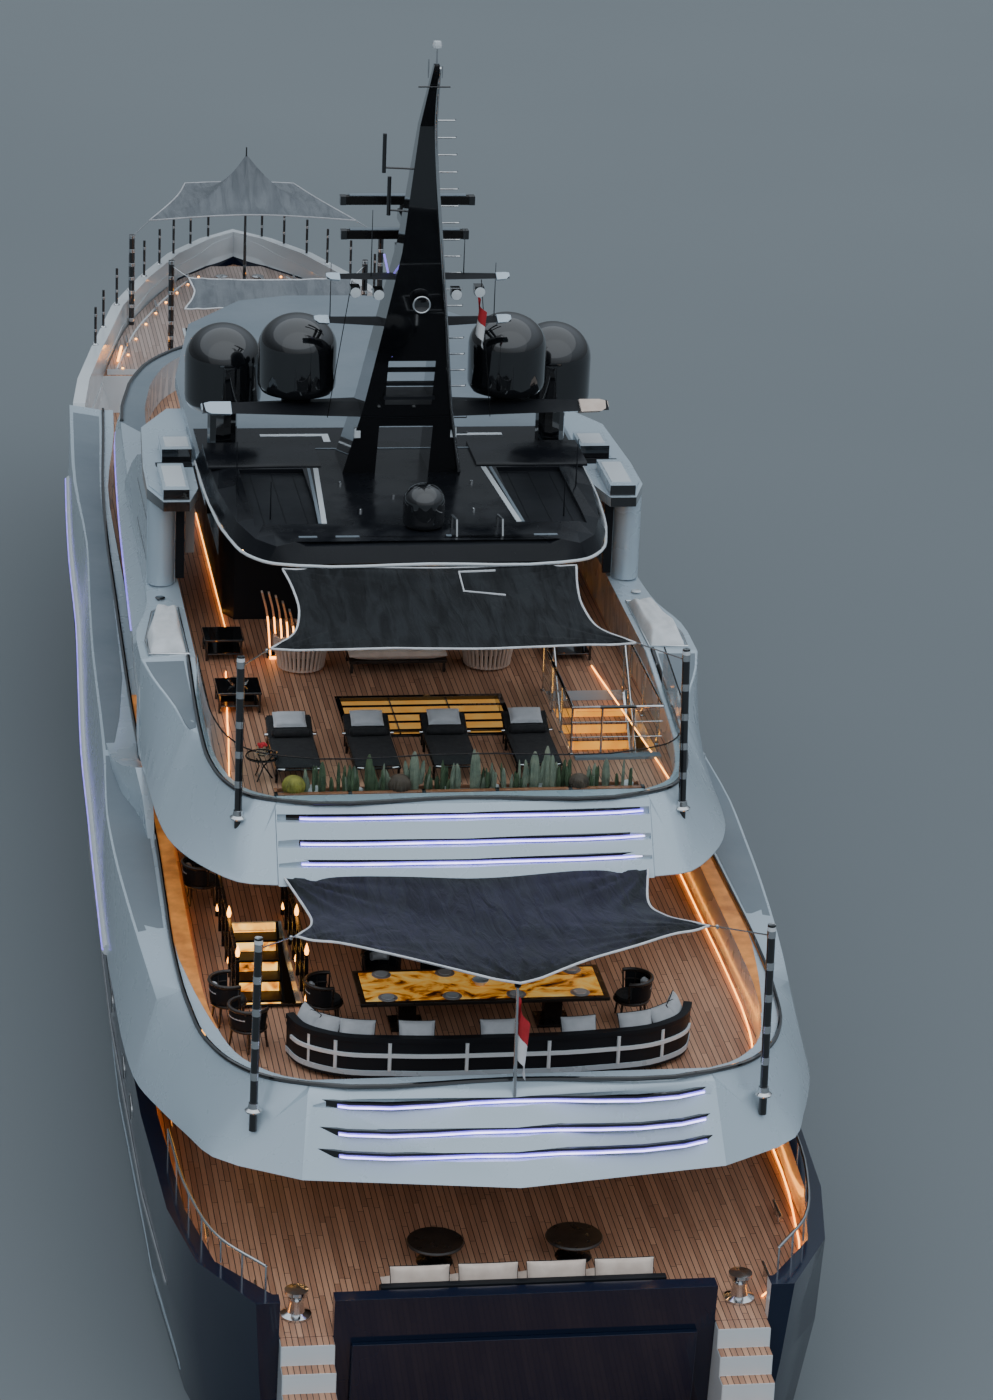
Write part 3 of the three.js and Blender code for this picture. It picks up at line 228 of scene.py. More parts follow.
def piece(form, name, materials, body=YACHT, slot=None, bevel=0, smooth=40):
    """Makes the form an object that rides on a body. bevel is in ship metres. Edges up to smooth degrees are
    shaded soft."""
    mesh = bpy.data.meshes.new(name)
    mesh.from_pydata([[value * SHIP for value in p] for p in form.points], [], form.faces)
    work = bmesh.new()
    work.from_mesh(mesh)
    bmesh.ops.recalc_face_normals(work, faces=work.faces)
    work.to_mesh(mesh)
    work.free()
    for material in materials:
        mesh.materials.append(material)
    mesh.polygons.foreach_set("material_index", form.marks)
    mesh.shade_smooth()
    mesh.set_sharp_from_angle(angle=math.radians(smooth))
    made = bpy.data.objects.new(name, mesh)
    bpy.context.scene.collection.objects.link(made)
    if bevel:
        bevelled(made, bevel, smooth)
    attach(made, body)
    return made


def bevelled(made, width, angle=30, segments=2):
    edges = made.modifiers.new("edges", "BEVEL")
    edges.width = width * SHIP
    edges.segments = segments
    edges.limit_method = "ANGLE"
    edges.angle_limit = math.radians(angle)
    edges.harden_normals = True
    edges.use_clamp_overlap = True


def soft_edge_group(angle):
    """A modifier's node group that merges a CAD mesh and smooths it across gentle edges."""
    group = bpy.data.node_groups.new("gentle edges", "GeometryNodeTree")
    group.interface.new_socket("Geometry", in_out="INPUT", socket_type="NodeSocketGeometry")
    group.interface.new_socket("Geometry", in_out="OUTPUT", socket_type="NodeSocketGeometry")
    start = group.nodes.new("NodeGroupInput")
    end = group.nodes.new("NodeGroupOutput")
    merge = node(group, "GeometryNodeMergeByDistance", {"Geometry": start.outputs[0], "Distance": 0.0002})
    faces = node(group, "GeometryNodeSetShadeSmooth", {"Geometry": merge.outputs[0], "Shade Smooth": True},
                 domain="FACE")
    edge = node(group, "GeometryNodeInputMeshEdgeAngle")
    gentle = node(group, "FunctionNodeCompare", {"A": edge.outputs[0], "B": math.radians(angle)},
                  data_type="FLOAT", operation="LESS_THAN")
    smooth = node(group, "GeometryNodeSetShadeSmooth",
                  {"Geometry": faces.outputs[0], "Shade Smooth": gentle.outputs[0]}, domain="EDGE")
    group.links.new(smooth.outputs[0], end.inputs[0])
    return group


def dress(name, materials, rule=None, bevel=0.02):
    """Gives a CAD node its materials, by a rule on each face's normal and centre, and soft edges."""
    cad = frame["nodes"][name]
    cad.data.materials.clear()
    for material in materials:
        cad.data.materials.append(material)
    for face in cad.data.polygons:
        face.material_index = rule(face.normal, face.center / SHIP) if rule else 0
    cad.modifiers.new("gentle edges", "NODES").node_group = GENTLE
    if bevel:
        bevelled(cad, bevel)
    return cad


# Materials


def node(tree, kind, inputs=None, **properties):
    """Adds a node, sets its properties and sets or links its inputs."""
    made = tree.nodes.new(kind)
    for key, value in properties.items():
        setattr(made, key, value)
    for key, value in (inputs or {}).items():
        if isinstance(value, bpy.types.NodeSocket):
            tree.links.new(value, made.inputs[key])
        else:
            made.inputs[key].default_value = value
    return made


def math_node(tree, operation, *values):
    return node(tree, "ShaderNodeMath", dict(enumerate(values)), operation=operation).outputs[0]


def blank(name):
    """A new material, its node tree and its shader."""
    made = bpy.data.materials.new(name)
    made.use_nodes = True
    return made, made.node_tree, made.node_tree.nodes["Principled BSDF"]


def wire(shader, **sockets):
    """Links or sets a shader's inputs."""
    for name, value in sockets.items():
        socket = shader.inputs[name.replace("_", " ")]
        if isinstance(value, bpy.types.NodeSocket):
            shader.id_data.links.new(value, socket)
        else:
            socket.default_value = value


def place_in(tree, space="Object"):
    """The shaded point's X, Y and Z."""
    point = node(tree, "ShaderNodeTexCoord").outputs[space]
    return node(tree, "ShaderNodeSeparateXYZ", {0: point}).outputs


def spread(tree, value, low, high, source=(0, 1)):
    """Maps a value from its source range to low and high."""
    return node(tree, "ShaderNodeMapRange", {"Value": value, "From Min": source[0], "From Max": source[1],
                                             "To Min": low, "To Max": high}).outputs[0]


def relief(tree, height, strength, depth, **more):
    return node(tree, "ShaderNodeBump",
                {"Height": height, "Strength": strength, "Distance": depth, **more}).outputs[0]


def threads(tree, scale, axes):
    return [node(tree, "ShaderNodeTexWave", {"Scale": scale}, bands_direction=axis).outputs["Fac"]
            for axis in axes]


def shade_of(tree, number):
    """A random value for each whole number."""
    return node(tree, "ShaderNodeTexWhiteNoise", {"W": number}, noise_dimensions="1D").outputs["Value"]


def ramp(tree, factor, stops):
    """A colour ramp from (place, colour) stops."""
    made = node(tree, "ShaderNodeValToRGB", {"Fac": factor})
    band = made.color_ramp
    while len(band.elements) < len(stops):
        band.elements.new(1)
    for element, (place, colour) in zip(band.elements, stops):
        element.position = place
        element.color = (*colour, 1)
    return made.outputs["Color"]


def noise(tree, scale, detail=3, stretch=(1, 1, 1), distortion=0):
    """Noise in the object's own space, in model metres."""
    place = node(tree, "ShaderNodeTexCoord").outputs["Object"]
    mapped = node(tree, "ShaderNodeMapping", {"Vector": place, "Scale": stretch}).outputs[0]
    return node(tree, "ShaderNodeTexNoise", {"Vector": mapped, "Scale": scale, "Detail": detail,
                                             "Distortion": distortion}).outputs["Fac"]


def finish(name, dark, light, roughness=(0.3, 0.4), scale=1.5, bump=0, bump_scale=60, stretch=(1, 1, 1),
           **sockets):
    """A material whose colour and roughness drift a little over the surface, with a fine bump."""
    made, tree, shader = blank(name)
    wire(shader, Base_Color=ramp(tree, noise(tree, scale, 4), ((0.3, dark), (0.7, light))),
         Roughness=spread(tree, noise(tree, scale * 3, 5), *roughness, (0.3, 0.7)), **sockets)
    if bump:
        wire(shader, Normal=relief(tree, noise(tree, bump_scale, 4, stretch), bump, 0.004))
    return made


def glowing_finish(name, dim, bright, strength):
    """The face of a light, a diffuser that glows a little brighter here and there; some parts use it as
    painted light.
    """
    made = finish(name, dim, bright, (0.3, 0.4), 5)
    shader = made.node_tree.nodes["Principled BSDF"]
    colour = shader.inputs["Base Color"].links[0].from_socket
    wire(shader, Emission_Color=colour, Emission_Strength=strength)
    return made


# In ship metres: a deck plank's width with its seam and its length, and the width of an awning's panels
PLANK, PLANK_LENGTH, CLOTH_PANEL = 0.1, 2.2, 1.1


def planking(name, dark, light, seam=(0.012, 0.01, 0.01)):
    """Straight-laid teak: planks fore and aft, each its own shade, with dark seams and butts."""
    made, tree, shader = blank(name)
    do = partial(math_node, tree)
    place = place_in(tree)
    across = do("DIVIDE", place["X"], PLANK * SHIP)
    number = do("FLOOR", across)
    along = do("ADD", do("DIVIDE", place["Y"], PLANK_LENGTH * SHIP),
               do("MULTIPLY", shade_of(tree, number), 7.0))
    board = do("ADD", do("FLOOR", along), do("MULTIPLY", number, 13.7))
    grain = noise(tree, 6, 6, (14, 0.8, 14), 0.4)
    tone = do("ADD", do("MULTIPLY", shade_of(tree, board), 0.5), do("MULTIPLY", grain, 0.6))
    wood = ramp(tree, tone, ((0.2, dark), (0.85, light)))
    caulk = do("LESS_THAN", do("FRACT", across), 0.14)
    butt = do("LESS_THAN", do("FRACT", along), 0.006)
    line = do("MAXIMUM", caulk, butt)
    colour = node(tree, "ShaderNodeMix", {"Factor": line, "A": wood, "B": (*seam, 1)}, data_type="RGBA")
    height = do("SUBTRACT", do("MULTIPLY", grain, 0.3), line)
    wire(shader, Base_Color=colour.outputs["Result"], Roughness=spread(tree, grain, 0.42, 0.7),
         Normal=relief(tree, height, 0.4, 0.002))
    return made


def onyx(name, strength):
    """Backlit onyx: honey-coloured stone with brown veins."""
    made, tree, shader = blank(name)
    veins = noise(tree, 3.2, 9, (1, 1.6, 1), 1.6)
    stone = ramp(tree, veins, ((0.33, (0.04, 0.01, 0.002)), (0.43, (0.55, 0.17, 0.015)),
                               (0.53, (1.0, 0.48, 0.07)), (0.7, (1.0, 0.68, 0.22))))
    wire(shader, Base_Color=stone, Emission_Color=stone, Emission_Strength=strength,
         Roughness=spread(tree, veins, 0.08, 0.25))
    return made


def canvas(name, dark, light, bend):
    """Awning cloth: a fine weave, creases with painted light and shade along them, and sewn seams between its
    panels. bend: index of refraction.
    """
    made, tree, shader = blank(name)
    do = partial(math_node, tree)
    cloud = noise(tree, 2.0, 5)
    crease = noise(tree, 2.2, 6, (4.5, 0.7, 1), 0.8)
    seam = do("LESS_THAN", do("FRACT", do("DIVIDE", place_in(tree)["X"], CLOTH_PANEL * SHIP)), 0.018)
    tone = do("SUBTRACT", cloud, do("MULTIPLY", seam, 0.16))
    # Painted light and shade: the creases lighten and darken the colour along the folds
    tone = do("ADD", tone, do("MULTIPLY", do("SUBTRACT", crease, 0.5), 1.6))
    weave = do("ADD", do("MULTIPLY", *threads(tree, 90, "XY")), seam)
    folds = relief(tree, crease, 0.9, 0.05)
    wire(shader, Base_Color=ramp(tree, tone, ((0.3, dark), (0.7, light))),
         Roughness=spread(tree, cloud, 0.42, 0.58), Normal=relief(tree, weave, 0.35, 0.002, Normal=folds),
         Sheen_Weight=0.04, IOR=bend)
    return made


def fabric(name, dark, light, scale=120, sheen=0.3):
    """Upholstery: a crossed weave under a soft sheen."""
    made = finish(name, dark, light, (0.75, 0.95), 8, Sheen_Weight=sheen)
    tree = made.node_tree
    do = partial(math_node, tree)
    thread = threads(tree, scale, "XYZ")
    weave = do("ADD", do("ADD", thread[0], thread[1]), thread[2])
    wire(tree.nodes["Principled BSDF"], Normal=relief(tree, weave, 0.3, 0.002))
    return made


def ribbed(name, dark, light):
    """Cactus skin: mottled green with a fine thorny bump."""
    return finish(name, dark, light, (0.55, 0.8), 14, bump=0.5, bump_scale=90)


NAVY = finish("navy paint", (0.004, 0.008, 0.022), (0.006, 0.012, 0.032), (0.12, 0.2), 0.4, Coat_Weight=0.3,
              Specular_IOR_Level=0.3)
SILVER = finish("silver paint", (0.44, 0.53, 0.6), (0.452, 0.542, 0.612), (0.26, 0.29), 0.6, Metallic=0.15,
                Coat_Weight=0.6, Coat_Roughness=0.12)
WHITE = finish("white paint", (0.6, 0.64, 0.67), (0.68, 0.72, 0.74), (0.2, 0.28), 0.6, Coat_Weight=0.5)
GREY = finish("matt grey panel", (0.15, 0.185, 0.215), (0.18, 0.215, 0.245), (0.5, 0.62), 1.2, bump=0.15,
              bump_scale=220)
TAUPE = finish("taupe panel", (0.27, 0.25, 0.24), (0.33, 0.31, 0.3), (0.4, 0.5), 1.2, bump=0.1,
               bump_scale=150)
BLACK = finish("black gloss", (0.0045, 0.005, 0.0065), (0.007, 0.0075, 0.009), (0.04, 0.09), 0.5,
               Coat_Weight=1.0)
ROOF_GLASS = finish("dark roof", (0.006, 0.007, 0.009), (0.01, 0.011, 0.014), (0.1, 0.34), 1.3, IOR=1.3)
ROOF_PANEL = finish("grey roof panel", (0.012, 0.0135, 0.016), (0.02, 0.022, 0.026), (0.36, 0.46), 1.4,
                    IOR=1.2)
MATT_BLACK = finish("matt black", (0.007, 0.008, 0.01), (0.012, 0.013, 0.016), (0.45, 0.6), 1.5, IOR=1.25)
DARK_METAL = finish("dark metal", (0.012, 0.011, 0.011), (0.02, 0.018, 0.017), (0.2, 0.35), 4, Metallic=0.6)
STEEL = finish("polished steel", (0.56, 0.57, 0.58), (0.68, 0.69, 0.7), (0.08, 0.2), 6, Metallic=1.0)
BRONZE = finish("propeller bronze", (0.42, 0.26, 0.1), (0.55, 0.36, 0.16), (0.2, 0.35), 5, Metallic=1.0)
TEAK = planking("teak deck", (0.31, 0.15, 0.09), (0.58, 0.32, 0.2))
PALE_TEAK = planking("weathered teak deck", (0.27, 0.2, 0.17), (0.42, 0.33, 0.29), (0.08, 0.07, 0.065))
COPPER_WOOD = finish("varnished wood", (0.26, 0.1, 0.05), (0.4, 0.17, 0.085), (0.2, 0.32), 3, Coat_Weight=0.5)
EBONY = finish("dark wood", (0.014, 0.01, 0.008), (0.026, 0.018, 0.014), (0.25, 0.4), 4, bump=0.2,
               bump_scale=30, stretch=(20, 1, 20))
TINT = finish("tinted glass", (0.012, 0.015, 0.018), (0.018, 0.022, 0.026), (0.02, 0.05), 0.5,
              Transmission_Weight=0.55, IOR=1.45)
CLEAR = finish("clear glass", (0.82, 0.9, 0.9), (0.86, 0.93, 0.93), (0.01, 0.03), 0.5,
               Transmission_Weight=1.0, IOR=1.12)
LED = glowing_finish("white light strip", (0.5, 0.45, 1.0), (0.72, 0.68, 1.0), 4.0)
VIOLET = glowing_finish("violet light strips and painted glow", (0.22, 0.17, 1.0), (0.36, 0.3, 1.0), 1.0)
AMBER = glowing_finish("amber light strips and painted glow", (1.0, 0.32, 0.035), (1.0, 0.44, 0.08), 6.5)
WARM = glowing_finish("warm downlight", (1.0, 0.5, 0.16), (1.0, 0.6, 0.24), 9.0)
ONYX = onyx("lit onyx", 2.0)
ONYX_TOP = onyx("onyx table top", 0.35)
DARK_CANVAS = canvas("dark awning cloth", (0.005, 0.006, 0.0072), (0.016, 0.0185, 0.021), 1.22)
PALE_CANVAS = canvas("pale awning cloth", (0.1, 0.114, 0.128), (0.145, 0.16, 0.175), 1.4)
PIPING = fabric("white piping", (0.62, 0.64, 0.66), (0.74, 0.75, 0.77), 200)
CREAM = fabric("cream upholstery", (0.6, 0.48, 0.4), (0.72, 0.6, 0.51))
PALE_GREY = fabric("pale grey cushion", (0.42, 0.43, 0.45), (0.52, 0.53, 0.55))
BLACK_CLOTH = fabric("black mesh cloth", (0.006, 0.006, 0.007), (0.01, 0.01, 0.011), 260, 0.02)
COVER = fabric("white cover cloth", (0.6, 0.63, 0.65), (0.74, 0.76, 0.78), 160)
SLATS = finish("bleached wood", (0.44, 0.34, 0.28), (0.6, 0.48, 0.4), (0.45, 0.6), 3, bump=0.2, bump_scale=30,
               stretch=(20, 20, 1))
CACTUS = ribbed("green cactus", (0.035, 0.06, 0.03), (0.1, 0.14, 0.07))
PALE_CACTUS = ribbed("grey-green cactus", (0.13, 0.16, 0.12), (0.26, 0.28, 0.2))
BARREL = ribbed("yellow barrel cactus", (0.16, 0.14, 0.02), (0.42, 0.36, 0.06))
BROWN_CACTUS = ribbed("brown cactus", (0.05, 0.035, 0.025), (0.12, 0.08, 0.055))
PEBBLE = finish("white stone", (0.5, 0.5, 0.5), (0.72, 0.72, 0.72), (0.6, 0.8), 10, bump=0.5, bump_scale=40)
GRAVEL = finish("gravel", (0.05, 0.04, 0.035), (0.2, 0.17, 0.15), (0.7, 0.9), 60, bump=0.8, bump_scale=120)
PLATE = finish("glazed plate", (0.42, 0.4, 0.4), (0.55, 0.53, 0.53), (0.12, 0.2), 6)
GLOW_PANEL = glowing_finish("backlit amber panel", (0.8, 0.28, 0.03), (1.0, 0.42, 0.06), 1.1)
SKY_PANEL = glowing_finish("lit skylight", (1.0, 0.42, 0.07), (1.0, 0.58, 0.16), 5.0)
RED = finish("red cloth", (0.4, 0.015, 0.02), (0.5, 0.02, 0.03), (0.7, 0.85), 10)
FLAG_WHITE = finish("white cloth", (0.66, 0.66, 0.66), (0.74, 0.74, 0.74), (0.7, 0.85), 10)
# Painted light: the coaming's wood lining glows, for the warm light falling on it
WOOD_PAINTED_GLOW = glowing_finish("wood lining with painted glow", (0.36, 0.12, 0.025), (0.75, 0.28, 0.06), 0.28)
GENTLE = soft_edge_group(28)


# Camera, floor and light


def place_camera():
    forward = Vector((math.sin(YAW) * math.cos(PITCH), math.cos(YAW) * math.cos(PITCH), -math.sin(PITCH)))
    level = Vector((math.cos(YAW), -math.sin(YAW), 0))
    upright = level.cross(forward)
    right = level * math.cos(ROLL) + upright * math.sin(ROLL)
    up = upright * math.cos(ROLL) - level * math.sin(ROLL)
    lens = bpy.data.cameras.new("camera")
    lens.sensor_width = SENSOR
    lens.lens = FOCAL_PIXELS / PHOTO_HEIGHT * SENSOR
    lens.clip_end = 2000
    made = bpy.data.objects.new("camera", lens)
    turn = Matrix((right, up, -forward)).transposed().to_4x4()
    made.matrix_world = Matrix.Translation(Vector(EYE) * SHIP) @ turn
    bpy.context.scene.collection.objects.link(made)
    bpy.context.scene.camera = made


def wide_sun(name, source, spread, power, colour):
    """Soft light from the direction of a point, as wide as spread degrees."""
    light = bpy.data.lights.new(name, "SUN")
    light.angle = math.radians(spread)
    light.energy = power
    light.color = colour
    made = bpy.data.objects.new(name, light)
    made.rotation_euler = Vector(source).to_track_quat("Z", "Y").to_euler()
    bpy.context.scene.collection.objects.link(made)


def floor_and_light():
    bpy.ops.mesh.primitive_plane_add(size=700)
    floor = bpy.context.object
    floor.name = "floor"
    pale = finish("pale floor", (0.13, 0.15, 0.162), (0.17, 0.192, 0.205), (0.75, 0.85), 0.02)
    floor.data.materials.append(pale)
    world = bpy.data.worlds.new("sky")
    bpy.context.scene.world = world
    world.use_nodes = True
    tree = world.node_tree
    place = place_in(tree, "Generated")
    do = partial(math_node, tree)
    height = do("ADD", place["Z"], do("MULTIPLY", place["Y"], -0.16))
    height = do("ADD", height, do("MULTIPLY", place["X"], 0.14))
    sky = ramp(tree, height, ((0.0, (0.13, 0.145, 0.16)), (0.2, (0.24, 0.27, 0.3)),
                              (0.55, (0.58, 0.66, 0.75)), (1.0, (0.85, 0.93, 1.0))))
    wire(tree.nodes["Background"], Color=sky, Strength=0.95)
    wide_sun("overcast", (-0.05, -0.25, 1), 120, 1.15, (0.88, 0.94, 1.0))
    wide_sun("stern sky", (0.0, -1, 0.55), 100, 0.35, (0.92, 0.96, 1.0))


place_camera()
floor_and_light()


# Hull

CLUB = {"x": 2.6, "y": (-27.5, -23.6), "z": (0.95, 2.6)}
UNDERWATER = finish("antifouling", (0.02, 0.022, 0.028), (0.032, 0.035, 0.042), (0.5, 0.65), 1.5, bump=0.1)
CLUB_LINING = finish("beach club lining", (0.35, 0.33, 0.31), (0.42, 0.4, 0.37), (0.4, 0.5), 1.5)


def hull_looks():
    def rule(normal, centre):
        x, y, z = centre
        in_club = abs(x) <= CLUB["x"] + 0.01 and CLUB["y"][0] < y < CLUB["y"][1] + 0.01
        transom = normal.y < -0.5 and y < CLUB["y"][1] - 0.5
        if in_club and CLUB["z"][0] - 0.01 <= z <= CLUB["z"][1] + 0.01 and not transom:
            return 3 if normal.z > 0.9 else 4
        side_deck = 4.9 < z < 6.3 and abs(x) < 4
        if normal.z > 0.9 and (abs(z - MAIN_Z) < 0.05 or side_deck):
            return 3
        inward = normal.x * x < 0
        if abs(normal.z) < 0.3 and abs(normal.x) > 0.3 and MAIN_Z < z < 3.9 and inward:
            return 2
        if y > 11 and z > 5.2 and (normal.z > 0.8 or normal.y < -0.3 or (inward and y < 25.5)):
            return 2
        return 1 if z < 0 else 0

    dress("hull", [NAVY, UNDERWATER, WHITE, TEAK, CLUB_LINING], rule, 0.03)
    dress("transom_door", [NAVY], None, 0.015)
    for side, _ in SIDES:
        for name, material, bevel in (("rudder_", UNDERWATER, 0.015), ("stabiliser_fin_", UNDERWATER, 0.015),
                                      ("shaft_line_", STEEL, 0.02), ("propeller_", BRONZE, 0.012)):
            dress(name + side, [material], None, bevel)
    dress("swim_platform", [WHITE, TEAK], lambda normal, centre: 1 if normal.z > 0.9 else 0, 0.03)
    dress("forward_shell", [SILVER], None, 0.02)


# Bulwarks of the upper two decks, as sections from the centreline round the quarter and forward
# Columns: inner face x, y; coaming x, y, z; crease x, y, z; lower edge x, y, z

UPPER_SHELL = [
    (0.0, -24.3, 0.0, -24.54, 6.3, 0.0, -24.78, 6.24, 0.0, -25.85, 4.95),
    (3.4, -24.3, 3.4, -24.48, 6.3, 3.46, -24.64, 6.22, 3.6, -25.3, 4.95),
    (4.0, -23.95, 4.16, -24.12, 6.3, 4.95, -24.26, 5.02, 5.0, -24.32, 4.93),
    (4.42, -23.4, 4.62, -23.58, 6.3, 5.22, -23.35, 5.42, 5.36, -23.35, 4.87),
    (4.7, -22.5, 4.98, -22.7, 6.3, 5.42, -22.1, 5.72, 5.74, -22.1, 4.76),
    (4.85, -21.2, 5.17, -21.3, 6.3, 5.6, -20.9, 5.95, 6.0, -20.9, 4.6),
    (4.9, -19.3, 5.26, -19.3, 6.3, 5.76, -19.3, 6.14, 6.12, -19.3, 4.45),
    (4.9, -16.5, 5.24, -16.5, 6.34, 5.96, -16.5, 6.29, 6.16, -16.5, 4.35),
    (4.9, -14.6, 5.22, -14.6, 6.38, 6.05, -14.6, 6.34, 6.17, -14.6, 4.3),
    (4.9, -12.9, 5.23, -12.9, 6.45, 6.08, -12.9, 6.45, 6.14, -12.9, 4.25),
    (4.9, -10.6, 5.24, -10.6, 6.54, 5.98, -10.6, 6.55, 6.1, -10.6, 4.2),
    (4.9, -8.0, 5.25, -8.0, 6.6, 5.92, -8.0, 6.6, 6.05, -8.0, 4.2),
    (4.9, -4.2, 5.2, -4.2, 6.62, 5.85, -4.2, 6.62, 5.98, -4.2, 4.2),
    (4.9, -0.9, 5.15, -0.9, 6.63, 5.72, -0.9, 6.63, 5.85, -0.9, 4.4),
    (4.9, 2.4, 5.1, 2.4, 6.65, 5.58, 2.4, 6.67, 5.72, 2.4, 4.6),
    (4.86, 6.0, 4.98, 6.0, 6.78, 5.66, 6.0, 6.92, 5.68, 6.0, 4.9),
    (4.5, 9.6, 4.75, 9.6, 6.93, 5.54, 9.6, 7.08, 5.56, 9.6, 5.2),
    (4.4, 11.35, 4.65, 11.35, 6.98, 5.46, 11.35, 7.12, 5.48, 11.35, 5.4),
]
BRIDGE_SHELL = [
    (0.0, -17.75, 0.0, -18.05, 8.75, 0.0, -18.2, 8.72, 0.0, -19.15, 7.5),
    (3.35, -17.75, 3.35, -18.0, 8.75, 3.4, -18.12, 8.7, 3.4, -18.95, 7.5),
    (3.78, -17.45, 3.85, -17.75, 8.76, 4.06, -18.7, 7.6, 4.12, -18.75, 7.5),
    (4.05, -16.95, 4.2, -17.15, 8.77, 4.32, -17.7, 8.12, 4.72, -17.9, 7.48),
    (4.25, -16.1, 4.41, -16.3, 8.82, 4.5, -16.45, 8.52, 5.12, -16.9, 7.45),
    (4.33, -15.0, 4.48, -15.1, 8.9, 4.66, -15.0, 8.78, 5.3, -15.7, 7.42),
    (4.35, -13.9, 4.5, -13.9, 9.06, 4.9, -13.9, 9.02, 5.36, -14.3, 7.39),
    (4.35, -12.9, 4.5, -12.9, 9.24, 5.25, -12.9, 9.24, 5.4, -12.9, 7.37),
    (4.35, -12.2, 4.5, -12.2, 9.36, 5.4, -12.2, 9.34, 5.42, -12.2, 7.35),
]
# Bridge deck's side. Columns: inner x, y, degrees turned from starboard to the bow, top z, and how far
# out the top, the light band and the lower edge stand
BRIDGE_SIDE = [
    (4.35, -12.2, 0, 9.36, 1.04, 1.07, 1.07), (4.35, -10.6, 0, 9.36, 1.02, 1.06, 1.0),
    (4.35, -9.4, 0, 9.36, 0.75, 1.0, 0.86), (4.35, -8.1, 0, 9.36, 0.65, 0.96, 0.76),
    (4.35, -4.5, 0, 9.3, 0.6, 0.86, 0.68), (4.3, -0.7, 2, 9.24, 0.57, 0.78, 0.6),
    (4.2, 3.4, 4, 9.2, 0.55, 0.68, 0.5), (4.02, 5.3, 10, 9.2, 0.52, 0.62, 0.45),
    (3.7, 6.9, 22, 9.2, 0.5, 0.6, 0.42), (3.15, 8.2, 40, 9.2, 0.48, 0.58, 0.4),
    (2.3, 9.2, 60, 9.2, 0.46, 0.56, 0.38), (1.2, 9.85, 80, 9.2, 0.45, 0.55, 0.37),
    (0.0, 10.05, 90, 9.2, 0.45, 0.55, 0.37),
]
BAND_Z = (8.4, 8.75)


def whole_coaming(rows):
    """The line of the coaming from the port side's forward end round the quarters to starboard's."""
    line = fair([row[2:5] for row in rows], 5)
    return [(-x, y, z) for x, y, z in reversed(line)] + line[1:]


def side_line(column, z):
    """A line along the bridge deck's side from its aft end to the bow, at one of its distances out."""
    made = []
    for x, y, degrees, _, *reach in fair(BRIDGE_SIDE, 3):
        turn = math.radians(degrees)
        made.append((x + reach[column] * math.cos(turn), y + reach[column] * math.sin(turn), z))
    return made


def top_panel(form, rows, side, table):
    """A flat panel let into the top of a bulwark. table: y, then its inner and outer edge as shares of the
    width from the coaming to the crease."""
    fine = fair(rows, 3)
    places = {row[3] for row in fine if table[0][0] < row[3] < table[-1][0]} | {line[0] for line in table}
    rings = []
    for y in sorted(places):
        k = max(i for i in range(len(fine) - 1) if fine[i][3] <= y)
        row = between(fine[k], fine[k + 1], (y - fine[k][3]) / (fine[k + 1][3] - fine[k][3]))
        j = max(i for i in range(len(table) - 1) if table[i][0] <= y)
        _, inner, outer = between(table[j], table[j + 1], (y - table[j][0]) / (table[j + 1][0] - table[j][0]))
        p, q = (between(row[2:5], row[5:8], share) for share in (inner, outer))
        rings.append([(side * x, y, z + h)
                      for (x, _, z), h in ((p, 0.008), (q, 0.008), (q, -0.02), (p, -0.02))])
    form.rings(rings)


# Grey panels on the bulwarks' tops. Columns: y, inner and outer edge as shares of the width
UPPER_PANEL_AFT = [(-17.95, 0.16, 0.93), (-14.0, 0.12, 0.95), (-12.9, 0.1, 0.96), (-12.0, 0.42, 0.96),
                   (-11.2, 0.74, 0.96), (-10.2, 0.8, 0.94)]
UPPER_PANEL_FORE = [(-9.9, 0.72, 0.92), (-8.2, 0.4, 0.92), (-6.0, 0.14, 0.93), (-2.0, 0.1, 0.93),
                    (1.4, 0.05, 0.93), (5.6, 0.1, 0.9), (10.8, 0.12, 0.9)]
BRIDGE_PANEL = [(-14.75, 0.25, 0.75), (-14.5, 0.12, 0.88), (-13.6, 0.1, 0.94), (-12.35, 0.1, 0.94)]


def coaming_lining(form, rows, side, aft, forward):
    """Wood on the coaming inboard of its gasket, tapering off at the quarter."""
    rings = []
    for inner, y, outer, _, z, *_ in fair(rows, 4):
        if aft <= y <= forward:
            outer = blend(inner + 0.01, outer - 0.05, min(1, (y - aft) / 3.2))
            inner += 0.004
            rings.append([(side * x, y, z + h)
                          for x, h in ((inner, -0.02), (outer, -0.02), (outer, 0.014), (inner, 0.014))])
    form.rings(rings)


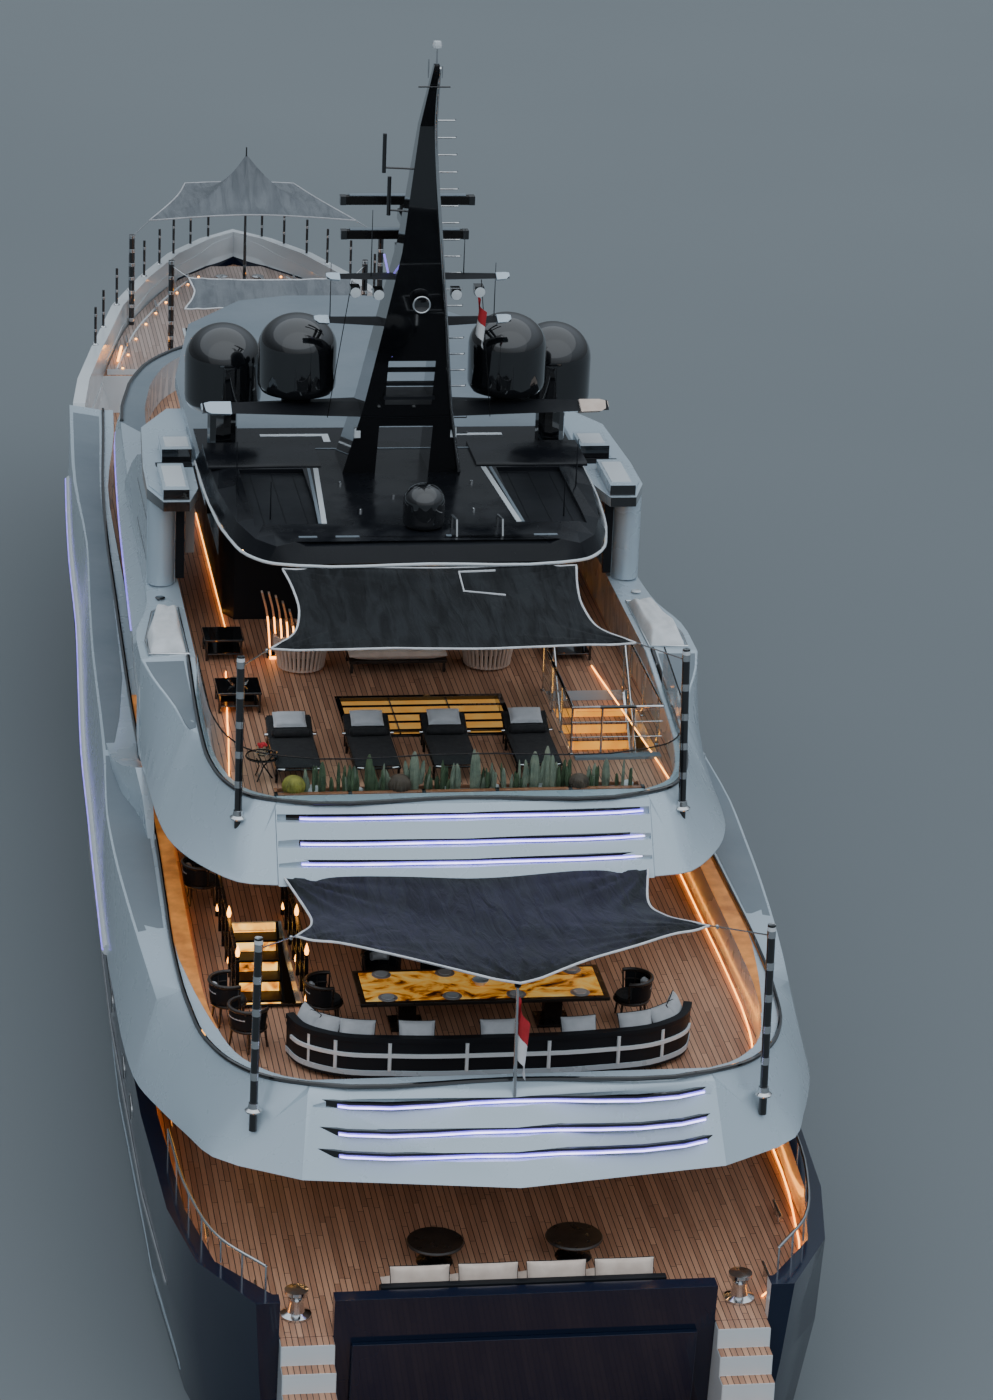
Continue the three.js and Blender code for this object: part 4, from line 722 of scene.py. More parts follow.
def bulwark_looks():
    def side_rule(normal, centre):
        if BAND_Z[0] - 0.02 < centre.z < BAND_Z[1] + 0.02 and abs(normal.z) < 0.35:
            return 1
        return 2 if normal.z > 0.9 and centre.z > 9.1 and centre.y > 3 else 0

    for name, side in SIDES:
        dress("upper_bulwark_" + name, [SILVER], None, 0.035)
        dress("bridge_bulwark_" + name, [SILVER], None, 0.035)
        dress("bridge_side_" + name, [SILVER, WHITE, GREY], side_rule, 0.05)
        panels = Form()
        for rows, table in ((UPPER_SHELL, UPPER_PANEL_AFT), (UPPER_SHELL, UPPER_PANEL_FORE),
                            (BRIDGE_SHELL, BRIDGE_PANEL)):
            top_panel(panels, rows, side, table)
        piece(panels, "bulwark_panels_" + name, [GREY], bevel=0.006)
    for deck in ("upper", "bridge"):
        dress(deck + "_fascia", [SILVER], None, 0)
    for deck in ("upper_deck", "upper_deck_aft", "bridge_deck"):
        dress(deck, [TEAK, SILVER], lambda normal, centre: 0 if normal.z > 0.9 else 1, 0)
    gaskets, linings, trim, lines = (Form() for _ in range(4))
    for rows in (UPPER_SHELL, BRIDGE_SHELL):
        gaskets.pipe([(x, y, z + 0.02) for x, y, z in whole_coaming(rows)], 0.045)
    piece(gaskets, "coaming_gaskets", [BLACK])
    for side in BOTH:
        coaming_lining(linings, UPPER_SHELL, side, -22.3, -7.0)
    # The linings glow as painted light
    piece(linings, "coaming_linings", [WOOD_PAINTED_GLOW])
    edge = [row[8:11] for row in fair(UPPER_SHELL, 3)]
    low = [(x - 0.03, y, z + 0.07) for x, y, z in edge if -14.8 < y < 11.2]
    band = [p for p in side_line(1, sum(BAND_Z) / 2) if p[1] > -8.9]
    cap = [(x - 0.02, y, z) for x, y, z in side_line(0, 9.19) if y > 3.3]
    for side in BOTH:
        trim.pipe(mirrored(low, side), 0.11, 12)
        trim.pipe(mirrored(cap, side), 0.045, 8, 1)
        lines.pipe([(side * (x + 0.1), y, z + 0.02) for x, y, z in low], 0.022, 6)
        lines.pipe([(side * x, y, z) for x, y, z in band], 0.022, 6)
    piece(trim, "band_trim", [WHITE, BLACK], smooth=60)
    piece(lines, "side_lights", [VIOLET], smooth=60)


# Light strips in the fascias' slots, by the slots' heights
LIGHT_SLOTS = [(UPPER_SHELL, (6.08, 5.68, 5.36)), (BRIDGE_SHELL, (8.52, 8.14, 7.84))]
SLOT_END = 3.38
# The violet layer is painted glow: a lit band round each white strip, for its light on the slot
# Columns: nearest and furthest depth, lower and upper edge about the slot, ends short of it, material
STRIP_LAYERS = [(0.085, 0.15, -0.06, 0.06, 0, 0, 1), (0.05, 0.11, -0.042, 0.012, 0.4, 0.1, 2),
                (0.03, 0.06, -0.026, -0.004, 0.41, 0.11, 0)]


def part_of_line(line, x0, x1):
    """The part of a line of points between two values of x."""
    ends = []
    for x in (x0, x1):
        k = max(i for i in range(len(line) - 1) if line[i][0] <= x)
        ends.append(between(line[k], line[k + 1], (x - line[k][0]) / (line[k + 1][0] - line[k][0])))
    return [ends[0], *(p for p in line if x0 < p[0] < x1), ends[1]]


def light_strips():
    made = Form()
    for rows, z in ((rows, z) for rows, heights in LIGHT_SLOTS for z in heights):
        line = []
        for row in fair(rows[:3], 5):
            top, low = row[5:8], row[8:11]
            line.append(between(top, low, (top[2] - z) / (top[2] - low[2]))[:2])
        line = [(-x, y) for x, y in reversed(line[1:])] + line
        for near, far, low, high, short_port, short_starboard, mark in STRIP_LAYERS:
            ends = short_port - SLOT_END, SLOT_END - short_starboard
            made.rings([[(x, y + near, z + low), (x, y + far, z + low), (x, y + far, z + high),
                         (x, y + near, z + high)] for x, y in part_of_line(line, *ends)], mark)
    piece(made, "fascia_lights", [LED, BLACK, VIOLET])


# Roof and mast

HARDTOP = [(0, -12.85), (2.5, -12.85), (3.05, -12.65), (3.4, -12.2), (3.66, -11.2), (3.86, -9.2),
           (3.92, -6.45)]
RECESS = {"x": (1.94, 3.2), "y": (-11.6, -8.2), "z": 11.7}
HANDLE = [(0, -11.9, -0.02), (0, -11.95, 0.26), (0.03, -12.35, 0.3), (0.03, -12.45, -0.14)]
WING_PANEL = [(4.6, -4.4), (4.86, -4.5), (4.93, -6.4), (4.94, -7.8), (4.7, -8.5), (4.66, -7.9), (4.62, -6.4)]
# Bars on and under the roof's wings. Columns: x, y, z, material
WING_BARS = [
    ((3.98, 4.72), (-6.62, -6.34), (11.3, 11.356), 2), ((4.02, 4.5), (-6.15, -5.5), (11.6, 11.632), 0),
    ((4.26, 4.66), (-8.4, -7.1), (11.5, 11.532), 0), ((4.24, 4.41), (-7.96, -7.88), (9.45, 11.08), 2),
    ((4.02, 4.2), (-7.7, -7.6), (9.9, 11.08), 4),
]


def wing_rule(normal, centre):
    """The roof's flat top is grey, painted shade, and its domes' posts black. Its wings are silver, taupe
    outboard and below.
    """
    if centre.z > ROOF_Z - 0.17:
        return 2
    if abs(centre.x) < 3.95:
        # Painted shade: the upward faces of the roof between the wings are grey
        return 3 if normal.z > 0.9 else 0
    if normal.y < -0.3:
        return 2
    return 1 if normal.z < -0.5 or (abs(centre.x) > 4.75 and abs(normal.z) < 0.5 and centre.y < -4) else 0


def roof_lines():
    """The pale line round the hardtop's rim, painted reflections as strips beside its panels and short grey
    marks near its aft edge, handles, lamps and whips.
    """
    made = Form()
    rim = fair(HARDTOP, 4)
    rim = [(-x, y) for x, y in reversed(rim[1:])] + rim
    made.pipe([(x, y, ROOF_UNDER_Z + 0.1) for x, y in rim], 0.032)
    y0, y1 = RECESS["y"]
    z = RECESS["z"]
    for side in BOTH:
        x0, x1 = (side * x for x in RECESS["x"])
        # Painted reflection: a white strip and a grey strip beside each recessed panel
        for at_fore, at_aft, wide, mark in ((-0.26, -0.06, 0.05, 0), (-0.12, 0.02, 0.03, 1)):
            xa, xb = x0 + side * at_fore, x0 + side * at_aft
            outline = [(xa - wide, y1), (xa + wide, y1), (xb + wide, y0), (xb - wide, y0)]
            made.prism(outline, ROOF_Z - 0.02, ROOF_Z + 0.012, mark)
        for k in range(3):
            x = blend(x0, x1, (k + 0.5) / 3)
            made.box((x - 0.01, x + 0.01), (y0 + 0.05, y1 - 0.05), (z - 0.02, z + 0.008), 2)
        made.rod((side * 3.35, -9.4, ROOF_Z - 0.1), (side * 3.36, -9.4, ROOF_Z + 0.95), 0.016, 0.008, 8, 2)
        made.upright(side * 2.85, -11.0, z, z + 0.75, 0.016, 0.008, 8, 2)
        x = 0.97 + side * 0.44
        made.pipe([(x + dx, y, ROOF_Z + h) for dx, y, h in HANDLE], 0.026, mark=3)
        made.rings([[(side * x, y, ROOF_Z + h)
                     for x, h in ((1.56, -0.03), (3.8, -0.03), (3.8, top), (1.56, top))]
                    for y, top in ((-8.1, 0.012), (-8.02, 0.05), (-6.62, 0.05))], 6)
        for x, y in ((1.1, -10.9), (0.35, -10.0), (1.3, -9.2)):
            made.turned([(0.035, 0), (0.03, 0.05), (AXIS, 0.06)], (side * x, y, ROOF_Z), 16, 3)
        made.prism([(side * x, y) for x, y in WING_PANEL], 11.3, 11.352, 5)
        bay = [(4.7 + 0.27 * math.cos(a), -7.88 + 0.3 * math.sin(a))
               for a in (math.pi + math.pi * k / 14 for k in range(15))]
        made.prism([(side * x, y) for x, y in bay], 9.36, 11.1, 5)
        for x, ys, zs, mark in WING_BARS:
            made.box([side * value for value in x], ys, zs, mark)
        for x, ys in (((1.1, 1.24), (-6.2, -5.2)), ((1.24, 2.5), (-5.34, -5.2))):
            made.box([side * value for value in x], ys, (ROOF_FORE_Z, ROOF_FORE_Z + 0.02), 0)
    made.box((-1.62, 1.62), (-6.95, -6.9), (ROOF_Z - 0.02, ROOF_Z + 0.01), 1)
    made.box((-3.82, 3.82), (-6.38, -4.75), (ROOF_FORE_Z - 0.02, ROOF_FORE_Z + 0.012), 6)
    # Painted glints: short light grey marks on the hardtop near its aft edge
    for x in ((-2.45, -2.1), (-1.75, -1.3), (0.36, 0.46), (2.05, 2.5)):
        made.box(x, (-12.42, -12.34), (ROOF_Z - 0.02, ROOF_Z + 0.012), 1)
    piece(made, "roof_lines", [WHITE, GREY, MATT_BLACK, STEEL, TAUPE, SILVER, ROOF_GLASS], smooth=50)


def roof_looks():
    dress("hardtop", [ROOF_GLASS, ROOF_PANEL],
          lambda normal, centre: 1 if normal.z > 0.95 and centre.z < ROOF_Z - 0.03 else 0, 0.04)
    dress("wheelhouse_roof", [SILVER, TAUPE, BLACK, GREY], wing_rule, 0.06)
    dress("mast", [BLACK, MATT_BLACK], lambda normal, centre: 1 if normal.z > 0.4 else 0, 0.03)
    for level in ("lower", "upper"):
        dress("radar_scanner_" + level, [DARK_METAL], None, 0.03)


# Columns: name, x, y, foot z, top z, radius
DOMES = [
    ("radome_inner", 2.08, -8.1, 13.36, 14.95, 0.775),
    ("radome_outer", 3.35, -6.1, 12.45, 14.18, 0.775),
]


def dome(form, x, y, low, high, radius):
    tall = high - low
    profile = [(radius * 0.72, low), (radius * 0.9, low + tall * 0.03), (radius * 0.985, low + tall * 0.1),
               (radius, low + tall * 0.16), (radius, low + tall * 0.58)]
    profile += [(radius * math.cos(a) + 0.0005, low + tall * (0.58 + 0.42 * math.sin(a)))
                for a in (math.pi * k / 36 for k in range(1, 19))]
    form.turned(profile, (x, y, 0), 64)


def domes():
    for name, x, y, low, high, radius in DOMES:
        for side_name, side in SIDES:
            made = Form()
            dome(made, side * x, y, low, high, radius)
            full = f"{name}_{side_name}"
            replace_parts(piece(made, full + "_shell", [BLACK], smooth=50), full)
    made = Form()
    dome(made, 0, -11.8, 11.8, 12.65, 0.4)
    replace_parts(piece(made, "radome_small_shell", [BLACK], smooth=50), "radome_small")


# Poles with rings. Columns: deck, x, y, foot z, top x, top y, top z, z of the socket it stands in

POLES = [
    ("bridge", 4.05, -17.95, 8.1, 4.02, -17.65, 11.4, 8.4),
    ("upper", 4.35, -24.5, 5.5, 4.31, -24.45, 9.0, 5.85),
]
POLE_RADIUS, POLE_RINGS = 0.075, 6


def ringed_pole(form, foot, top):
    """A black pole with steel rings and a pale cap."""
    form.rod(foot, top, POLE_RADIUS * 0.94, sides=20)
    for k in range(POLE_RINGS):
        t = (k + 0.6) / POLE_RINGS
        end = t + 0.16 / POLE_RINGS + 0.012
        form.rod(between(foot, top, t), between(foot, top, end), POLE_RADIUS, sides=20, mark=1)
    form.rod(between(foot, top, 0.97), top, POLE_RADIUS * 1.02, POLE_RADIUS * 0.9, 20, 2)


def poles():
    socket = [(0.14, 0), (0.15, 0.03), (0.1, 0.07), (0.085, 0.16)]
    for deck, x, y, z, x_top, y_top, z_top, seat in POLES:
        for name, side in SIDES:
            made = Form()
            foot, top = (side * x, y, z), (side * x_top, y_top, z_top)
            ringed_pole(made, foot, top)
            made.turned(socket, between(foot, top, (seat - z) / (z_top - z)), 24, 1)
            full = f"awning_pole_{deck}_{name}"
            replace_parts(piece(made, full + "_rings", [BLACK, STEEL, WHITE], slot="steel"), full)


hull_looks()
bulwark_looks()
light_strips()
roof_looks()
roof_lines()
domes()
poles()


# Soft forms


def cushion(form, size, place, fill, seam_mark=0):
    """A crowned cushion with a piped seam, whose sides pull in between its corners. place turns and moves it,
    in ship metres."""
    count = 14
    long, wide, thick = (value / 2 for value in size)

    def corner(i, j, face):
        u, v = (2 * k / count - 1 for k in (i, j))
        crown = ((1 - abs(u) ** 4) * (1 - abs(v) ** 4)) ** 0.5
        ripple = 0.03 * math.sin(5 * u + 2.3 * v) * crown
        x = long * u * (1 - 0.07 * (1 - v * v) * (1 - fill))
        y = wide * v * (1 - 0.07 * (1 - u * u) * (1 - fill))
        return place @ Vector((x, y, face * thick * (0.12 + (0.88 + ripple) * crown)))

    row = count + 1
    top, low = ([corner(i, j, face) for j in range(row) for i in range(row)] for face in (1, -1))
    faces = []
    for j in range(count):
        for i in range(count):
            a = j * row + i
            faces.append((a, a + 1, a + row + 1, a + row))
            faces.append(tuple(len(top) + k for k in (a + row, a + row + 1, a + 1, a)))
    rim = list(range(row)) + [j * row + count for j in range(1, row)]
    rim += [count * row + i for i in range(count - 1, -1, -1)] + [j * row for j in range(count - 1, 0, -1)]
    for a, b in zip(rim, rim[1:] + rim[:1]):
        faces.append((a, len(top) + a, len(top) + b, b))
    form.add(top + low, faces)
    form.pipe([(top[a] + low[a]) / 2 for a in rim], 0.012, 5, seam_mark, closed=True)


def at(x, y, z, turn=0, lean=0):
    """A place in ship metres, turned about z and leant about x."""
    return Matrix.Translation((x, y, z)) @ Matrix.Rotation(turn, 4, "Z") @ Matrix.Rotation(lean, 4, "X")


# Sun loungers on the bridge deck, feet to the stern

LOUNGERS = (-2.8, -1.35, 0.1, 1.65)
BED = {"half": 0.43, "foot": -16.45, "hinge": -14.95, "head": -14.4, "top": 0.34, "rise": 0.22}


def loungers():
    frames, mats, pillows, bolsters = (Form() for _ in range(4))
    half, foot, hinge, head = BED["half"], BED["foot"], BED["hinge"], BED["head"]
    top, rise = ON_BRIDGE + BED["top"], BED["rise"]
    lean = math.atan2(rise, head - hinge)
    for x in LOUNGERS:
        for side in BOTH:
            edge = x + side * (half - 0.03)
            line = ((foot, 0), (hinge, 0), (head, rise))
            frames.pipe([(edge, y, top + h - 0.04) for y, h in line], 0.032)
            for y in (foot + 0.12, hinge):
                frames.upright(edge, y, ON_BRIDGE, top - 0.04, 0.026)
            frames.rod((edge, foot + 0.02, top - 0.035), (edge - side * 0.14, foot - 0.01, top - 0.035),
                       0.022, mark=1)
            knob = hinge + 0.1, top + 0.02
            frames.rod((edge + side * 0.02, *knob), (edge + side * 0.08, *knob), 0.03, mark=1)
            frames.pipe([(edge, hinge + 0.35, top + 0.1), (edge, hinge + 0.3, ON_BRIDGE + 0.02)], 0.02)
        ends = x - half + 0.03, x + half - 0.03
        for y, z, radius in ((foot, -0.045, 0.022), (foot + 0.75, -0.045, 0.022), (hinge, -0.045, 0.022),
                             (head, rise - 0.04, 0.03)):
            frames.rod((ends[0], y, top + z), (ends[1], y, top + z), radius)
        wide = 2 * half - 0.06
        cushion(mats, (wide, hinge - foot - 0.02, 0.08), at(x, (foot + hinge) / 2, top), 0.95)
        cushion(mats, (wide, (head - hinge) / math.cos(lean), 0.08),
                at(x, (hinge + head) / 2, top + rise / 2, 0, lean), 0.95)
        cushion(pillows, (0.6, 0.4, 0.16), at(x, head - 0.22, top + rise * 0.72 + 0.07, 0, lean), 0.5)
        for reach, radius in ((0.33, 0.085), (0.36, 0.06)):
            roll = hinge - 0.02, top + 0.1
            bolsters.rod((x - reach, *roll), (x + reach, *roll), radius, sides=24)
    nodes = [f"lounger_{i + 1}" for i in range(len(LOUNGERS))]
    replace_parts(piece(frames, "lounger_frames", [DARK_METAL, STEEL], slot="black_fabric"), *nodes)
    for form, name, material, slot, bevel, fill in (
            (mats, "mats", BLACK_CLOTH, "black_fabric", 0, 0.9),
            (pillows, "pillows", PALE_GREY, "grey_fabric", 0, 0.6),
            (bolsters, "bolsters", BLACK_CLOTH, "black_fabric", 0.02, 0.9)):
        piece(form, "lounger_" + name, [material], slot=slot, bevel=bevel, smooth=60)


# Round slatted armchairs, bench and small tables

ARMCHAIRS = (("port", -2.13), ("starboard", 1.56))
ARMCHAIR_Y = -10.35
BENCH = (-1.22, 0.7), (-10.8, -10.0)


def armchairs():
    slats, seats = Form(), Form()
    y, z = ARMCHAIR_Y, ON_BRIDGE
    for _, x in ARMCHAIRS:
        for k in range(17):
            a = math.pi * (0.02 + 0.96 * k / 16) + math.pi
            path = [(x + r * math.cos(a), y + r * math.sin(a), z + h)
                    for r, h in ((0.43, 0.04), (0.46, 0.25), (0.51, 0.5), (0.53, 0.7))]
            slats.pipe(fair(path, 3), 0.034, 8)
        for h, r in ((0.06, 0.43), (0.68, 0.525)):
            slats.pipe(arc(x, y, z + h, r, math.pi, 2 * math.pi, 30), 0.028, 8)
        seats.turned([(0.36, 0.1), (0.4, 0.14), (0.4, 0.3)], (x, y, z), 40, 1)
        seats.turned([(0.38, 0.3), (0.4, 0.36), (0.38, 0.43), (0.3, 0.46), (AXIS, 0.47)], (x, y, z), 40)
        seats.pipe(arc(x, y, z + 0.56, 0.36, 1.08 * math.pi, 1.92 * math.pi, 16), 0.1, 14)
    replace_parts(piece(slats, "armchair_slats", [SLATS], slot="cream_fabric"),
                *[f"armchair_{name}" for name, _ in ARMCHAIRS])
    piece(seats, "armchair_seats", [CREAM, EBONY], slot="cream_fabric", smooth=50)


def bench():
    legs, pad = Form(), Form()
    z = ON_BRIDGE
    (x0, x1), (y0, y1) = BENCH
    for x in (x0 + 0.05, x1 - 0.05):
        for y in (y0 + 0.05, y1 - 0.05):
            legs.post(x, y, 0.03, (z, z + 0.24))
    legs.box((x0, x1), (y0, y1), (z + 0.2, z + 0.26))
    cushion(pad, (x1 - x0, y1 - y0, 0.24), at((x0 + x1) / 2, (y0 + y1) / 2, z + 0.36), 0.95)
    for x in (blend(x0, x1, 0.34), blend(x0, x1, 0.67)):
        pad.pipe([(x, y0 + 0.08, z + 0.475), (x, y1 - 0.08, z + 0.475)], 0.012, 6)
    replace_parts(piece(legs, "bench_frame", [EBONY], bevel=0.008, slot="cream_fabric"), "bench")
    piece(pad, "bench_pad", [CREAM], slot="cream_fabric", smooth=60)


# Columns: x, y, half-width, height. The first one carries a bowl
SQUARE_TABLES = [(-3.55, -12.4, 0.42, 0.42), (-3.6, -9.6, 0.38, 0.45), (3.3, -9.9, 0.38, 0.45)]
ROUND_TABLE = (-3.45, -16.1)
BOWL = [(0.08, 0), (0.17, 0.05), (0.2, 0.11), (0.19, 0.11), (0.15, 0.06), (AXIS, 0.02)]
VASE = [(0.1, 0), (0.13, 0.08), (0.11, 0.16), (0.1, 0.16), (0.12, 0.08), (0.09, 0.02)]
BLOOM = [(AXIS, -0.02), (0.022, -0.01), (0.03, 0.008), (0.018, 0.024), (AXIS, 0.02)]


def small_tables():
    made = Form()
    for x, y, half, height in SQUARE_TABLES:
        top = BRIDGE_Z + height
        made.post(x, y, half, (top - 0.05, top))
        for dx in BOTH:
            for dy in BOTH:
                made.post(x + dx * (half - 0.04), y + dy * (half - 0.04), 0.025, (BRIDGE_Z, top - 0.05))
        made.post(x, y, half - 0.03, (BRIDGE_Z + 0.12, BRIDGE_Z + 0.15))
    piece(made, "square_tables", [BLACK], bevel=0.012)
    glass, base, blooms = Form(), Form(), Form()
    x, y, _, height = SQUARE_TABLES[0]
    glass.turned(BOWL, (x, y, BRIDGE_Z + height), 32)
    x, y = ROUND_TABLE
    glass.turned([(0.3, 0), (0.3, 0.025)], (x, y, BRIDGE_Z + 0.45), 40)
    glass.turned(VASE, (x, y, BRIDGE_Z + 0.475), 32)
    piece(glass, "table_glass", [CLEAR], smooth=50)
    for k in range(3):
        a = 2 * math.pi * k / 3
        base.pipe([(x + r * math.cos(a + turn), y + r * math.sin(a + turn), BRIDGE_Z + h)
                   for r, turn, h in ((0.2, 0, 0), (0.05, 1, 0.25), (0.2, 2, 0.45))], 0.014)
    base.pipe(circle(x, y, BRIDGE_Z + 0.44, 0.3, 32), 0.014, 8, closed=True)
    piece(base, "round_table_base", [DARK_METAL])
    rng = random.Random(3)
    for _ in range(16):
        a, r = rng.uniform(0, 2 * math.pi), rng.uniform(0, 0.085)
        height = BRIDGE_Z + 0.63 + rng.uniform(0, 0.05)
        blooms.turned(BLOOM, (x + r * math.cos(a), y + r * math.sin(a), height), 10)
    piece(blooms, "flowers", [RED], smooth=60)


# Planter of cacti along the aft edge of the bridge deck

PLANTER = {"x": (-3.35, 3.35), "y": (-17.72, -17.3), "top": 0.34}
# From port to starboard: b barrel cactus, c column, p column with two arms, f many and s few thin stems
PLANTS = "bfcsfcfbpsfccfsfpcfbfcs"


def ribbed_ring(x, y, z, radius, ribs, groove):
    return [(x + r * math.cos(math.pi * i / ribs), y + r * math.sin(math.pi * i / ribs), z)
            for i, r in ((i, radius * (1 if i % 2 else groove)) for i in range(ribs * 2))]


def column_cactus(form, foot, radius, height, ribs, mark, lean=(0, 0)):
    rings = []
    for k in range(9):
        t = k / 8
        crown = 1 if t < 0.8 else max(0.08, (1 - t) / 0.2) ** 0.5
        r = radius * (0.8 + 0.25 * math.sin(math.pi * min(t * 1.3, 1))) * crown
        x, y = foot[0] + lean[0] * t, foot[1] + lean[1] * t
        rings.append(ribbed_ring(x, y, foot[2] + height * t, r, ribs, 0.82))
    form.rings(rings, mark)


def barrel_cactus(form, foot, radius, ribs, mark):
    rings = []
    for k in range(1, 10):
        b = math.pi * (k / 10 - 0.5)
        height = foot[2] + radius * 0.9 * (math.sin(b) + 0.92)
        rings.append(ribbed_ring(*foot[:2], height, radius * math.cos(b), ribs, 0.88))
    form.rings(rings, mark)


def stone(form, foot, size, rng):
    rings = []
    for b in (math.pi * (k / 6 - 0.5) for k in range(1, 6)):
        reach, z = size * math.cos(b), foot[2] + size * 0.7 * (math.sin(b) + 0.6)
        rings.append([(foot[0] + reach * math.cos(a) * rng.uniform(0.8, 1.15),
                       foot[1] + reach * math.sin(a) * rng.uniform(0.8, 1.15), z)
                      for a in (math.pi * i / 4 for i in range(8))])
    form.rings(rings, 4)


def planter():
    (x0, x1), (y0, y1) = PLANTER["x"], PLANTER["y"]
    z, top = ON_BRIDGE, ON_BRIDGE + PLANTER["top"]
    trough, plants = Form(), Form()
    trough.box((x0, x1), (y0, y0 + 0.1), (z, top))
    trough.box((x0, x1), (y1 - 0.04, y1), (z, top - 0.04))
    for x in (x0, x1 - 0.05):
        trough.box((x, x + 0.05), (y0 + 0.1, y1 - 0.04), (z, top - 0.02))
    trough.box((x0 + 0.05, x1 - 0.05), (y0 + 0.1, y1 - 0.04), (z, top - 0.1), 1)
    for k in range(6):
        x = blend(x0, x1, k / 5)
        trough.box((x - 0.035, x + 0.035), (y0 - 0.01, y0 + 0.11), (z, top + 0.015), 2)
    box = piece(trough, "planter_trough", [COPPER_WOOD, GRAVEL, BLACK], bevel=0.008, slot="planter_wood")
    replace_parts(box, "planter")
    rng = random.Random(11)
    vary = rng.uniform
    bed = top - 0.11
    step = (x1 - x0 - 0.4) / len(PLANTS)
    for i, kind in enumerate(PLANTS):
        x = x0 + 0.2 + step * (i + 0.5)
        y = vary(y0 + 0.17, y1 - 0.12)
        if kind == "b":
            barrel_cactus(plants, (x, y, bed), vary(0.19, 0.24), 18, 2 if i < 3 else 3)
        elif kind == "c":
            for _ in range(rng.randint(1, 2)):
                foot = x + vary(-0.05, 0.05), y + vary(-0.05, 0.05), bed
                column_cactus(plants, foot, vary(0.06, 0.085), vary(0.5, 0.95), 8, rng.choice((0, 1)))
        elif kind == "p":
            column_cactus(plants, (x, y, bed), 0.1, vary(0.75, 0.9), 9, 1)
            for side in BOTH:
                column_cactus(plants, (x + side * 0.12, y, bed + 0.15), 0.05, 0.45, 7, 1, (side * 0.05, 0))
        else:
            for _ in range(9 if kind == "f" else 4):
                foot = x + vary(-0.13, 0.13), y + vary(-0.08, 0.08), bed
                column_cactus(plants, foot, vary(0.03, 0.05), vary(0.25, 0.6), 6, rng.choice((0, 0, 1)),
                              (vary(-0.04, 0.04), vary(-0.03, 0.03)))
        if i % 3 == 1:
            stone(plants, (x + 0.1, y1 - 0.1, bed), vary(0.08, 0.14), rng)
    piece(plants, "cacti", [CACTUS, PALE_CACTUS, BARREL, BROWN_CACTUS, PEBBLE], smooth=50)


# Skylight in the bridge deck: black frame and bars over a lit well

SKYLIGHT = {"x": (-1.66, 1.6), "y": (-14.18, -12.05), "depth": 0.22}


def skylight():
    (x0, x1), (y0, y1) = SKYLIGHT["x"], SKYLIGHT["y"]
    floor = BRIDGE_Z - SKYLIGHT["depth"]
    rim = floor + 0.05, BRIDGE_Z + 0.03
    made = Form()
    made.box((x0 + 0.02, x1 - 0.02), (y0 + 0.02, y1 - 0.02), (floor + 0.002, floor + 0.05), 1)
    for y in (y0, y1 - 0.1):
        made.box((x0, x1), (y, y + 0.1), rim)
    for x in (x0, x1 - 0.1):
        made.box((x, x + 0.1), (y0 + 0.1, y1 - 0.1), rim)
    for k in range(1, 5):
        y = blend(y0, y1, k / 5)
        made.box((x0 + 0.1, x1 - 0.1), (y - 0.05, y + 0.05), (floor + 0.06, BRIDGE_Z - 0.02))
    for x in (blend(x0, x1, 0.33), blend(x0, x1, 0.67)):
        made.box((x - 0.015, x + 0.015), (y0 + 0.1, y1 - 0.1), (floor + 0.06, BRIDGE_Z - 0.08))
    piece(made, "skylight_bars", [BLACK, SKY_PANEL], bevel=0.006)


BALUSTRADE = {"height": 0.85, "ends": -13.6}


def bridge_balustrade():
    """The glass on the bridge deck's coaming, round its aft end."""
    height = BALUSTRADE["height"]
    line = fair([(row[2] - 0.06, row[3] + 0.06, row[4]) for row in BRIDGE_SHELL], 5)
    line = [p for p in line if p[1] < BALUSTRADE["ends"] and p[0] > 0.05]
    line = mirrored(reversed(line), -1) + line
    glass, edge = Form(), Form()
    section = []
    for i, (x, y, z) in enumerate(line):
        before, after = Vector(line[max(i - 1, 0)]), Vector(line[min(i + 1, len(line) - 1)])
        along = after - before
        off = Vector((-along.y, along.x, 0)).normalized() * 0.012
        low, high = Vector((x, y, z - 0.03)), Vector((x, y, z + height))
        section.append([low - off, low + off, high + off, high - off])
    glass.rings(section)
    piece(glass, "bridge_balustrade_glass", [CLEAR])
    edge.pipe([(x, y, z + height) for x, y, z in line], 0.014, 6)
    piece(edge, "bridge_balustrade_edge", [DARK_METAL])


# Stairs, rails and lights of the bridge deck's starboard stairwell

WELL = {"x": (2.5, 4.1), "y": (-15.2, -11.9)}


